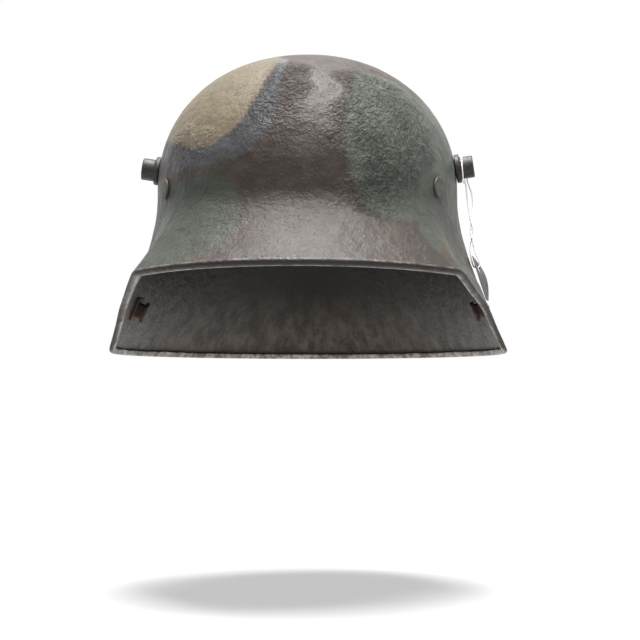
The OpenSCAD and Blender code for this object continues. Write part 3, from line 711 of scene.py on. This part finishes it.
def shell_grid(t):
    """Rows of points of the pressed shell with its rolled edge and the hem inside."""
    end, r = roll_start(t), roll_r(t)
    p, nrm = outer(t, end), normal(t, end)
    corner = np.exp(-((turned_from_front(t) - CORNER_T) / CORNER_SPREAD) ** 2)
    wavy = noise(p, 9, 51) * (0.25 + 0.35 * corner)
    hem_l = HEM_H - r + CORNER_HEM_H * corner + wavy
    along = unit(outer(t + NEAR_T, roll_start(t + NEAR_T)) - outer(t - NEAR_T, roll_start(t - NEAR_T)))
    down = unit(np.cross(along, nrm))
    centre = p - nrm * r[:, None]
    centre[:, 2] = rim_z(t) + r
    start_in = end + (hem_l + 0.6) / np.sum((p - outer(t, end + 1)) * down, axis=1)

    rows = []
    for s in (np.arange(1, ROWS["out"] + 1) / ROWS["out"]) ** 0.95:
        low = BOWL_Z + (end - BOWL_Z) * (s - OUT_DOME) / (1 - OUT_DOME)
        rows.append(outer(t, dome_z(s / OUT_DOME) if s <= OUT_DOME else low))
    for a in np.linspace(0, np.pi, ROWS["roll"] + 1)[1:]:
        rows.append(centre + (nrm * cos(a) + down * sin(a)) * r[:, None])
    for side, up in HEM:
        rows.append(centre - nrm * r[:, None] * side - down * hem_l[:, None] * up)
    for s in np.linspace(0, 1, ROWS["in"] + 2)[:-1]:
        low = start_in + (BOWL_Z - start_in) * (s / IN_DOME)
        rows.append(lining(t, low if s <= IN_DOME else dome_z(1 - (s - IN_DOME) / (1 - IN_DOME)), 0))
    return np.stack(rows)


def paint_relief(p, crusted):
    """Share of the paint that is crusted, and its height, which is calm round the pieces' seats."""
    share = np.clip(0.5 - (crusted + 9 * noise(p, 11, 5)) / 16, 0, 1)
    relief = 0.12 * noise(p, 17, 1) + 0.1 * noise(p, 7, 2) + 0.07 * noise(p, 3.2, 3)
    relief += share * (0.45 * np.abs(noise(p, 5.5, 7)) + 0.9 * crumbs(p * [1, 1, 0.7], 4.2, 11) ** 2
                       + 0.5 * crumbs(p, 2.6, 19))
    relief -= 0.22 * crumbs(p, 6.5, 31) ** 6 * (noise(p, 30, 8) > 0)
    sides = ((LUG_T, LUG_Z, 10), (RIVET_T, RIVET_Z, 8), (STRAP_T, STRAP_Z, 7))
    seats = [(180, RIVET_Z, 8)] + [(way * t, z, r) for t, z, r in sides for way in (1, -1)]
    seated = np.ones(len(p))
    for t, z, r in seats:
        seated = np.minimum(seated, smooth((np.linalg.norm(p - outer(t, z), axis=1) - r + 2) / 4))
    return share, relief * (0.2 + 0.8 * seated)


def shell_mesh():
    """Points, faces and fields of the shell."""
    t = shell_columns()
    grid = shell_grid(t)
    m, n = grid.shape[:2]
    points = np.vstack([grid.reshape(-1, 3), [[0, 0, SHELL_H], [0, 0, SHELL_H - SHEET]]])
    kind = np.append(np.repeat(list(ROWS), np.array(list(ROWS.values())) * n), ["out", "in"])
    out = np.nonzero(kind == "out")[0]
    p = points[out]
    slope = np.vstack([normal(t, row[:, 2]) for row in grid[:ROWS["out"]]] + [[[0, 0, 1]]])

    fields = {}
    for name, patches in PATCHES.items():
        fields[name] = np.full(len(points), FAR)
        fields[name][out] = np.min([side_distance(p, slope, corners) for corners in patches], axis=0)
    share, relief = paint_relief(p, fields.pop("crusted")[out])
    points[out] = p + slope * relief[:, None]
    fields["rough"] = np.zeros(len(points))
    fields["rough"][out] = share
    # Rows of the edge: painted highlight and painted shade on the roll, bare metal on the hem
    worn = np.zeros(m)
    last_out = ROWS["out"] - 1
    worn[last_out:last_out + len(EDGE_HIGHLIGHT_AND_WEAR)] = EDGE_HIGHLIGHT_AND_WEAR
    fields.update(inside=np.isin(kind, ("in", "seam")), seam=kind == "seam",
                  rim=np.isin(kind, ("roll", "hem")), worn=np.append(np.repeat(worn, n), [0, 0]))

    # Faces, without those at the vent lugs' shanks
    i, j = np.meshgrid(np.arange(m - 1), np.arange(n), indexing="ij")
    k = (j + 1) % n
    quads = np.stack([i * n + j, (i + 1) * n + j, (i + 1) * n + k, i * n + k], axis=-1).reshape(-1, 4)
    middle = points[quads].mean(1)
    keep = np.ones(len(quads), bool)
    for side in (1, -1):
        origin, axes = seat(side * LUG_T, LUG_Z)
        local = (middle - origin) @ axes.T
        keep &= (np.hypot(local[:, 0], local[:, 1]) > HOLE_R) | (np.abs(local[:, 2]) > HOLE_DEPTH)
    faces = quads[keep].tolist()
    pole, inner_pole, last = m * n, m * n + 1, (m - 1) * n
    faces += [[pole, a, (a + 1) % n] for a in range(n)]
    faces += [[inner_pole, last + (a + 1) % n, last + a] for a in range(n)]
    return points, faces, fields


shell = Build()
*shell_parts, shell_fields = shell_mesh()
shell.add(*shell_parts)
piece("shell", "pressing", shell, PAINT, fields=shell_fields)


# Turned and forged steel pieces

def softened(loop, r, steps=4):
    """The points of a closed profile with its corners rounded."""
    p = np.asarray(loop, float)
    made = []
    for a, b, c in zip(np.roll(p, 1, axis=0), p, np.roll(p, -1, axis=0)):
        back, ahead = a - b, c - b
        cut = min(r, 0.45 * np.linalg.norm(back), 0.45 * np.linalg.norm(ahead))
        start, stop = b + unit(back) * cut, b + unit(ahead) * cut
        for k in range(steps + 1):
            u = k / steps
            made.append((1 - u) ** 2 * start + 2 * u * (1 - u) * b + u * u * stop)
    return made


def seat_depth(t, z, depth, r):
    """Depth along the normal at (t, z) that clears a lining layer within r of there."""
    p, n = outer(t, z), normal(t, z)
    turn = r / np.linalg.norm(outer(t + NEAR_T, z) - outer(t - NEAR_T, z))
    a = np.radians(np.arange(0, 360, 45))
    spots = lining(t + turn * np.cos(a), z + r * np.sin(a), depth)
    return FACET_FIT + float(np.max((p - spots) @ n))


def shifted(place, offset):
    """The place moved along its own axes."""
    origin, axes = place
    return origin + offset @ axes, axes


VENT_R, SHANK_R, PEEN_R, LUG_R, SHOULDER_R = 2.75, 4.8, 6.6, 6.5, 8.5
SHOULDER_L, LUG_TIP = 3, 10.8
lug_in = -seat_depth(LUG_T, LUG_Z, 0, PEEN_R)
LUG_PROFILE = softened([
    [VENT_R, lug_in - 1], [PEEN_R, lug_in - 1], [PEEN_R, lug_in], [SHANK_R, lug_in], [SHANK_R, SEAT_FIT],
    [SHOULDER_R, SEAT_FIT], [SHOULDER_R, SHOULDER_L], [LUG_R, SHOULDER_L], [LUG_R, LUG_TIP],
    [VENT_R, LUG_TIP],
], 0.8)
for side, mirrored in (("left", False), ("right", True)):
    lug = Build()
    lug.lathe(LUG_PROFILE, seat(LUG_T, LUG_Z), closed=True)
    piece(f"vent_lug_{side}", "turned", lug, LUG_PAINT, mirrored)

# Liner rivet with two bent legs, and its washer
RIVET_R, HEAD_R, LEG, LEG_T, LEG_CORNER, WASHER_R, WASHER_T = 2, 6, 7, 1, 0.9, 6, 0.8
WASHER_BORE_R = RIVET_R + 0.15
RIVET_HEAD = [(5.7, SEAT_FIT), (5.93, 0.2), (HEAD_R, 0.45), (HEAD_R, 0.95), (5.88, 1.25), (5.6, 1.45),
              (5.1, 1.55), (3.8, 1.58), (2, 1.56), (0.4, 1.55)]
washers = Build()
for name, t in (("front_left", RIVET_T), ("front_right", -RIVET_T), ("rear", 180)):
    place = seat(t, RIVET_Z)
    washer = -seat_depth(t, RIVET_Z, BAND_IN, WASHER_R)
    legs = washer - WASHER_T - SEAT_FIT
    rivet = Build()
    rivet.lathe([(0.3, legs - 0.9), (RIVET_R, legs - 0.9), (RIVET_R, SEAT_FIT)] + RIVET_HEAD, place)
    for way in (-1, 1):
        leg_place = shifted(place, [0, way * (LEG / 2 + 0.1), 0])
        rounded_block(rivet, leg_place, 2 * RIVET_R, LEG - 0.3, LEG_CORNER, legs - LEG_T, legs, 0.25)
    piece(f"liner_rivet_{name}", "split", rivet, RIVET_PAINT)
    low = washer - WASHER_T
    ring = [[WASHER_BORE_R, low], [WASHER_R, low], [WASHER_R, washer], [WASHER_BORE_R, washer]]
    washers.lathe(softened(ring, 0.2), place, closed=True)
piece("rivet_washers", "stamped", washers, BARE_STEEL)

# Chinstrap lug (plate, neck and head) and the domed rivet through it
PLATE, PLATE_T, NECK_W, NECK_H, NECK_L = 15, 1.2, 6.5, 9, 3.5
STRAP_HEAD_W, STRAP_HEAD_L, STRAP_HEAD_T, STRAP_CORNER, BLOCK_CORNER = 8, 13, 2.5, 3.9, 2
DOME_R, DOME_H, STRAP_SHANK_R, SUNK = 4.5, 1.6, 1.5, 0.4
plate_seat = -SHEET - SEAT_FIT - (PLATE / 2) ** 2 / (2 * RIM_W)
plate_end = plate_seat - PLATE_T
head_start = plate_end - NECK_L
strap_end = head_start - STRAP_HEAD_T
curve_r = (DOME_R ** 2 + DOME_H ** 2) / (2 * DOME_H)
strap_rivet = [(0.2, strap_end - 0.32), (1.3, strap_end - 0.24), (1.8, strap_end + 0.05),
               (STRAP_SHANK_R, strap_end + 0.1), (STRAP_SHANK_R, SEAT_FIT)]
strap_rivet += [(curve_r * sin(a), SEAT_FIT + DOME_H - curve_r + curve_r * cos(a))
                for a in np.linspace(asin(DOME_R / curve_r), 0.03, 14)]
for side, mirrored in (("left", False), ("right", True)):
    place = seat(STRAP_T, STRAP_Z)
    lug = Build()
    rounded_block(lug, place, PLATE, PLATE, BLOCK_CORNER, plate_end, plate_seat, 0.4)
    rounded_block(lug, place, NECK_W, NECK_H, BLOCK_CORNER, head_start - SUNK, plate_end + SUNK, 0.4)
    rounded_block(lug, place, STRAP_HEAD_W, STRAP_HEAD_L, STRAP_CORNER, strap_end, head_start, 0.7)
    piece(f"strap_lug_{side}", "forged", lug, RUSTY, mirrored)
    rivet = Build()
    rivet.lathe(strap_rivet, place)
    piece(f"strap_rivet_{side}", "domed", rivet, RIVET_PAINT, mirrored)


# Liner

def slab(build, near, far, slit=None):
    """Solid between two grids of points. The cells of column slit[0] from row slit[1] up are left out."""
    n, m = near.shape[:2]
    f = n * m

    def kept(i, j):
        return 0 <= i < n - 1 and 0 <= j < m - 1 and not (slit and i == slit[0] and j >= slit[1])

    faces = []
    for i in range(n - 1):
        for j in range(m - 1):
            if not kept(i, j):
                continue
            a, b = i * m + j, (i + 1) * m + j
            faces.append([a, a + 1, b + 1, b])
            faces.append([f + a, f + b, f + b + 1, f + a + 1])
            sides = ((-1, 0, [a, f + a, f + a + 1, a + 1]), (1, 0, [b, b + 1, f + b + 1, f + b]),
                     (0, -1, [a, b, f + b, f + a]), (0, 1, [a + 1, f + a + 1, f + b + 1, b + 1]))
            faces += [face for di, dj, face in sides if not kept(i + di, j + dj)]
    build.add(np.concatenate([near.reshape(-1, 3), far.reshape(-1, 3)]), faces)


band = Build()
section = []
corners = softened([[0, BAND_GAP], [BAND_W, BAND_GAP], [BAND_W, BAND_IN], [0, BAND_IN]], 0.7, 3)
for a, b in zip(corners, corners[1:] + corners[:1]):
    # The section's long sides have points between their ends
    section += [a + (b - a) * k / 8 for k in range(8 if np.linalg.norm(b - a) > 5 else 1)]
rings = []
for t in np.arange(0, 360, 1.5):
    swell = 0.12 * noise(np.array([t * 1.6, 0, 0]), 22, 3)
    rings.append([lining(t, BAND_Z + up, depth + (depth > BAND_GAP + 1) * swell) for up, depth in section])
band.loft(rings, wraps=True)
piece("liner_band", "leather", band, BAND_LEATHER)


# Rows below the slit and in the tongues, columns of a tongue, and the gap between the tongues in degrees
PAD_LOW_ROWS, PAD_ROWS, PAD_COLUMNS, SLIT = 22, 15, 20, 1.6
# Heights at which the tongues start to wave and to curl
FREE_Z, FREE_L, CURL_Z, CURL_L, CURL = 96, 30, 134, 16, 1.6


def pad_grid(t0, t1, extra):
    """Points of a pad's face: two tongues that part above the slit."""
    half, middle = (t1 - t0) / 2, (t0 + t1) / 2
    low = np.linspace(PAD_Z, SLIT_Z, PAD_LOW_ROWS)
    rise = np.linspace(0, 1, PAD_ROWS + 1)[1:]
    z = np.concatenate([low, SLIT_Z + (PAD_TOP_Z - SLIT_Z) * np.sin(np.pi / 2 * rise)])
    k = np.concatenate([np.zeros(len(low)), rise])
    narrow = (1 - (1 - TONGUE_TAPER) * smooth(k)) * np.sqrt(1 - 0.85 * k ** 6)
    centre, width = (half + SLIT) / 2, (half - SLIT) / 2
    share = np.linspace(0, 1, PAD_COLUMNS)
    t = middle + np.concatenate([-(centre + (2 * share[::-1, None] - 1) * width * narrow),
                                 centre + (2 * share[:, None] - 1) * width * narrow])
    z = np.broadcast_to(z, t.shape)
    flat = outer(t, z)
    free = smooth((z - FREE_Z) / FREE_L)
    wave = 0.5 * (noise(flat, 24, 41) + 1) * free + 0.25 * (noise(flat, 9, 43) + 1) * free
    return lining(t, z, pad_depth(z) + extra + wave + CURL * smooth((z - CURL_Z) / CURL_L) ** 2)


# Gap between band and cushion, play of the cushion in its pocket, least room and thickness at its seam
CUSHION_GAP, CUSHION_PLAY, CUSHION_ROOM, CUSHION_SEAM = 0.4, 0.55, 0.9, 0.25


def cushion_faces(t0, t1):
    """Near and far face of a cushion, crowned, with puckers along its seam."""
    u = np.linspace(-1, 1, 57)[:, None]
    v = np.linspace(-1, 1, 31)[None, :]
    near = BAND_IN + CUSHION_GAP
    z = CUSHION_Z + CUSHION_H / 2 * (1 + v * (1 - 0.06 * (1 - u * u) * np.abs(v)))
    t = (t0 + t1) / 2 + u * (t1 - t0) / 2 * (1 - 0.03 * np.cos(np.pi / 2 * v))
    room = np.maximum(pad_depth(z) - CUSHION_PLAY - near, CUSHION_ROOM) - CUSHION_SEAM
    rim_u, rim_v = 1 - np.abs(u), 1 - np.abs(v)
    edge = np.minimum(1, np.minimum(rim_u * 3.2, rim_v) * 7) ** 0.5
    crown = (1 - np.abs(u) ** 7) * np.where(v > 0, 1 - np.abs(v) ** 7, 1 - np.abs(v) ** 5)
    long_pucker = 0.1 * (1 + np.sin(u * 46 + 3 * v)) * np.exp(-rim_v * 7)
    end_pucker = 0.1 * (1 + np.sin(v * 24)) * np.exp(-rim_u * 26)
    thick = CUSHION_SEAM + np.maximum(0, room * crown * (1 - long_pucker - end_pucker) * edge)
    return lining(t, z, near + 0.12 * (1 - crown)), lining(t, z, near + thick)


TIE_R, TIE_HALF, TIE_DOWN = 0.9, 6, 5
TIE_RISE = PAD_T / 2 + TIE_R + 0.3
TIE_RUN = TIE_HALF - TIE_RISE
TIE_DROP = TIE_RISE + 0.9
TIE_LAY = {"strands": 3, "lay": 4.5, "depth": 0.1}


def tie(middle):
    """Cord through both tongues of a pad, with a knot and two loose ends."""
    build = Build()
    z = SLIT_Z - TIE_DOWN
    place = shifted(seat(middle, z), [0, 0, -SHEET - pad_depth(z) - PAD_T / 2 - 0.35])
    half_turn = np.radians(np.arange(-90, 91, 15))
    ahead = [[TIE_RUN + TIE_RISE * cos(a), 0, TIE_RISE * sin(a)] for a in half_turn]
    back = [[-x, y, z] for x, y, z in ahead[::-1]]
    loop = [[0.4, 0, -TIE_RISE]] + ahead + back + [[-0.4, 0, -TIE_RISE]]
    sweep(build, put(smooth_route(loop, 3), place), TIE_R, 12, **TIE_LAY)
    for way in (-1, 1):
        tail = [[0, 0, -TIE_DROP], [way * 1.6, -0.4, -TIE_DROP - 0.5], [way * 3.2, -2.4, -TIE_DROP],
                [way * 4.4, -5, -TIE_DROP + 0.2], [way * 5.4, -7.6, -TIE_DROP - 0.2]]
        sweep(build, put(smooth_route(tail, 6), place), TIE_R * 0.95, 12, **TIE_LAY)
    sweep(build, put(trefoil(0.42) + [0, 0, -TIE_DROP - 0.1], place), TIE_R * 0.8, 10, **TIE_LAY)
    return build


STUD_Z = BAND_Z + STUD_UP
STUD_R, STUD_HEAD_R, STUD_SIDES, BORE_R = 1, 2.6, 36, 0.15
STUD_HEAD = [(BORE_R, -0.95), (0.8, -0.92), (1.5, -0.78), (2.1, -0.52), (2.5, -0.25), (STUD_HEAD_R, -0.08),
             (2.55, 0.1), (STUD_R, 0.15)]
STUD_END = -SHEET - BAND_GAP
studs = Build()
pads = (("front", -PAD_HALF_T, PAD_HALF_T, False), ("left", SIDE_PAD_START, SIDE_PAD_END, False),
        ("right", SIDE_PAD_START, SIDE_PAD_END, True))
for name, t0, t1, mirrored in pads:
    pad = Build()
    slab(pad, pad_grid(t0, t1, 0), pad_grid(t0, t1, PAD_T), (PAD_COLUMNS - 1, PAD_LOW_ROWS - 1))
    piece(f"liner_pad_{name}", "leather", pad, PAD_LEATHER, mirrored, levels=1)
    stuffed = Build()
    slab(stuffed, *cushion_faces(t0 + CUSHION_INSET_T, t1 - CUSHION_INSET_T))
    cushion = piece(f"cushion_{name}", "stuffed", stuffed, CUSHION_CLOTH, mirrored, levels=1)
    piece(f"pad_tie_{name}", "cord", tie((t0 + t1) / 2), TIE_CORD, mirrored)
    for i in range(STUDS_PER_PAD):
        t = t0 + STUD_END_T + i * (t1 - t0 - 2 * STUD_END_T) / (STUDS_PER_PAD - 1)
        t = -t if mirrored else t
        face = -seat_depth(t, STUD_Z, float(pad_depth(STUD_Z)) + PAD_T, STUD_HEAD_R)
        profile = [(r, face + h) for r, h in STUD_HEAD] + [(STUD_R, STUD_END), (BORE_R, STUD_END)]
        studs.lathe(profile, seat(t, STUD_Z), STUD_SIDES)
piece("pad_studs", "domed", studs, STUD_METAL)


# Tag: string, knot and card

STRING_LAY = {"strands": 2, "lay": 2.4}
# Axes of the knot
KNOT_WAY = np.array([[0, 0.6, 0.8], [0, -0.8, 0.6], [1, 0, 0]])


def string_turn():
    """The string's turn round the vent lug."""
    p, n = outer(LUG_T, LUG_Z), normal(LUG_T, LUG_Z)
    back = unit(np.cross([0, 0, 1.0], n))
    up = np.cross(n, back)
    k = np.linspace(0, 1, 11)[:, None]
    a = np.radians(-115 - 245 * k)
    return p + n * (3.7 + 2.1 * k) + (back * np.cos(a) + up * np.sin(a)) * (LUG_R + STRING_R + 0.25)


string_route = smooth_route(np.vstack([[STRING_START], string_turn(), STRING_HANG, [STRING_END]]), 8)
string_build = Build()
sweep(string_build, string_route, STRING_R, 12, depth=0.14, **STRING_LAY)
string = piece("tag_string", "cord", string_build, WHITE_COTTON, body="tag")
knot_build = Build()
knot_route = trefoil(0.33) @ KNOT_WAY + (np.array(STRING_START) + STRING_END) / 2
sweep(knot_build, knot_route, STRING_R, 10, depth=0.1, **STRING_LAY)
knot = piece("tag_string", "knot", knot_build, WHITE_COTTON, body="tag", replaces=False)

# Distance between the points of the card's mesh, and those from its edges
CARD_STEP, CARD_EDGE, CARD_END, HOLE_POINTS = 0.9, 0.7, 0.4, 40
CARD_BOW, BOW_START, BOW_L = 3.6, -9, 21


def card_mesh():
    """Points and faces of the flat card with its hole, and the count of its outline's points."""
    drop = (CARD_TOP[2] - min(p[2] for p in STRING_HANG)) / cos(radians(CARD_LEAN))
    hole_down = drop - STRING_R - 0.45 + CARD_HOLE_R
    half, clip = CARD_W / 2, CARD_CLIP
    corners = [(0, clip - half), (0, half - clip), (-clip, half), (-CARD_H, half), (-CARD_H, -half),
               (-clip, -half)]
    outline = []
    for (ax, ay), (bx, by) in zip(corners, corners[1:] + corners[:1]):
        count = max(2, round(hypot(bx - ax, by - ay) / CARD_STEP))
        outline += [(ax + (bx - ax) * k / count, ay + (by - ay) * k / count) for k in range(count)]
    angles = np.arange(HOLE_POINTS) * 2 * np.pi / HOLE_POINTS
    hole = [(-hole_down + CARD_HOLE_R * cos(a), CARD_HOLE_R * sin(a)) for a in angles]
    rings = len(outline)
    spots = outline + hole
    for x in np.arange(-CARD_H + CARD_EDGE, -CARD_END, CARD_STEP):
        for y in np.arange(-half + CARD_EDGE, half - CARD_END, CARD_STEP):
            clear = hypot(x + hole_down, y) > CARD_HOLE_R + 0.5 and abs(y) < half - 0.5
            if clear and x + abs(y) < half - clip - CARD_EDGE:
                spots.append((x, y))
    edges = [(k, (k + 1) % rings) for k in range(rings)]
    edges += [(rings + k, rings + (k + 1) % HOLE_POINTS) for k in range(HOLE_POINTS)]
    flat, _, faces, *_ = delaunay_2d_cdt([Vector(p) for p in spots], edges, [], 1, 1e-6)
    flat = np.array([list(p) for p in flat])
    faces = [list(f) for f in faces if np.hypot(*(flat[f].mean(0) + [hole_down, 0])) > CARD_HOLE_R - 0.02]
    return flat, faces, rings


card_flat, card_faces, outline_n = card_mesh()
down, along = -card_flat[:, 0], card_flat[:, 1]
bow = 0.15 + 0.85 * np.sin(np.pi * np.clip(down / CARD_H, 0, 1))
bow *= CARD_BOW * smooth((along - BOW_START) / BOW_L)
bow += 0.1 * noise(np.stack([down, along, 0 * down], axis=1), 8, 3)
turn = Matrix.Rotation(radians(-CARD_TURN), 3, "Z") @ Matrix.Rotation(radians(-CARD_LEAN), 3, "Y")
turn = np.array(turn)
card_points = []
for face in (CARD_T / 2, -CARD_T / 2):
    local = np.stack([face + bow, along, card_flat[:, 0]], axis=1)
    card_points.append(local @ turn.T + CARD_TOP)
count = len(card_flat)
card_faces += [[v + count for v in face[::-1]] for face in card_faces]
for first, length in ((0, outline_n), (outline_n, HOLE_POINTS)):
    for k in range(length):
        a, b = first + k, first + (k + 1) % length
        card_faces.append([a, b, count + b, count + a] if first == 0 else [a, count + a, count + b, b])
card_build = Build()
card_build.add(np.vstack(card_points), card_faces)
card = piece("tag_card", "stock", card_build, GREY_CARD, body="tag")


# Stage, light and camera

# Places in metres from here on
FLOOR_Z, FLOOR_SIDES, FLOOR_RINGS = -0.142, 48, (0.2, 0.5, 1, 2, 4, 8, 16)
FLOOR_GREY, FADE_START, FADE_END = 0.72, 0.25, 0.8
AMBIENT = 0.2
CAMERA, AIM, LENS = (0.0765, -1.0938, -0.0252), (0.0069, 0.0039, 0.0204), 103.47

# The world lights dimly and is seen as white
world = bpy.data.worlds.new("studio")
bpy.context.scene.world = world
g = Graph(world)
rays = g.node("LightPath", {})
seen = g.math("MAXIMUM", rays["Is Camera Ray"], rays["Is Glossy Ray"])
seen = g.math("MAXIMUM", seen, rays["Is Transmission Ray"])
ambient = g.node("Background", {"Color": (0.95, 0.97, 1), "Strength": AMBIENT})[0]
white = g.node("Background", {"Color": (1, 1, 1), "Strength": 1})[0]
g.end(g.node("MixShader", {0: seen, 1: ambient, 2: white}), "World")

# The floor keeps the shadow near the helmet and fades to white further off
angles = np.arange(FLOOR_SIDES) * 2 * np.pi / FLOOR_SIDES
points = [(0, 0, FLOOR_Z)] + [(r * cos(a), r * sin(a), FLOOR_Z) for r in FLOOR_RINGS for a in angles]
next_to = [(1 + k, 1 + (k + 1) % FLOOR_SIDES) for k in range(FLOOR_SIDES)]
faces = [(0, a, b) for a, b in next_to]
for start in range(0, FLOOR_SIDES * (len(FLOOR_RINGS) - 1), FLOOR_SIDES):
    faces += [(start + a, start + FLOOR_SIDES + a, start + FLOOR_SIDES + b, start + b) for a, b in next_to]
floor_mesh = bpy.data.meshes.new("floor")
floor_mesh.from_pydata(points, [], faces)
floor = linked("floor", floor_mesh)
paper, g = material("floor_paper")
far_off = g.node("VectorMath", {0: g.coords()}, operation="LENGTH")["Value"]
fade = g.ramp(far_off, FADE_START, FADE_END, 0.5, 1)
share = g.times(g.node("LightPath", {})["Is Camera Ray"], fade)
diffuse = g.node("BsdfDiffuse", {"Color": [FLOOR_GREY] * 3})[0]
glow = g.node("Emission", {"Color": (1, 1, 1), "Strength": 1})[0]
g.end(g.node("MixShader", {0: share, 1: diffuse, 2: glow}))
floor_mesh.materials.append(paper)


def aimed(data, place, aim):
    """Object of a lamp or a camera that looks at a point."""
    obj = linked(data.name, data)
    obj.location = place
    obj.rotation_euler = (Vector(aim) - obj.location).to_track_quat("-Z", "Y").to_euler()
    return obj


def softbox(name, place, aim, size, power):
    lamp = bpy.data.lights.new(name, "AREA")
    lamp.shape = "RECTANGLE"
    lamp.size, lamp.size_y = size
    lamp.energy = power
    return aimed(lamp, place, aim)


overhead = softbox("overhead", place=(0.05, -0.11, 1.3), aim=(0, -0.02, 0.05), size=(0.8, 1.1), power=72)
front = softbox("front", place=(0.5, -1.6, 0.75), aim=(0, 0, 0.05), size=(0.9, 0.5), power=2)

camera_data = bpy.data.cameras.new("camera")
camera_data.lens = LENS
bpy.context.scene.camera = aimed(camera_data, CAMERA, AIM)
bpy.context.scene.view_settings.view_transform = "Standard"
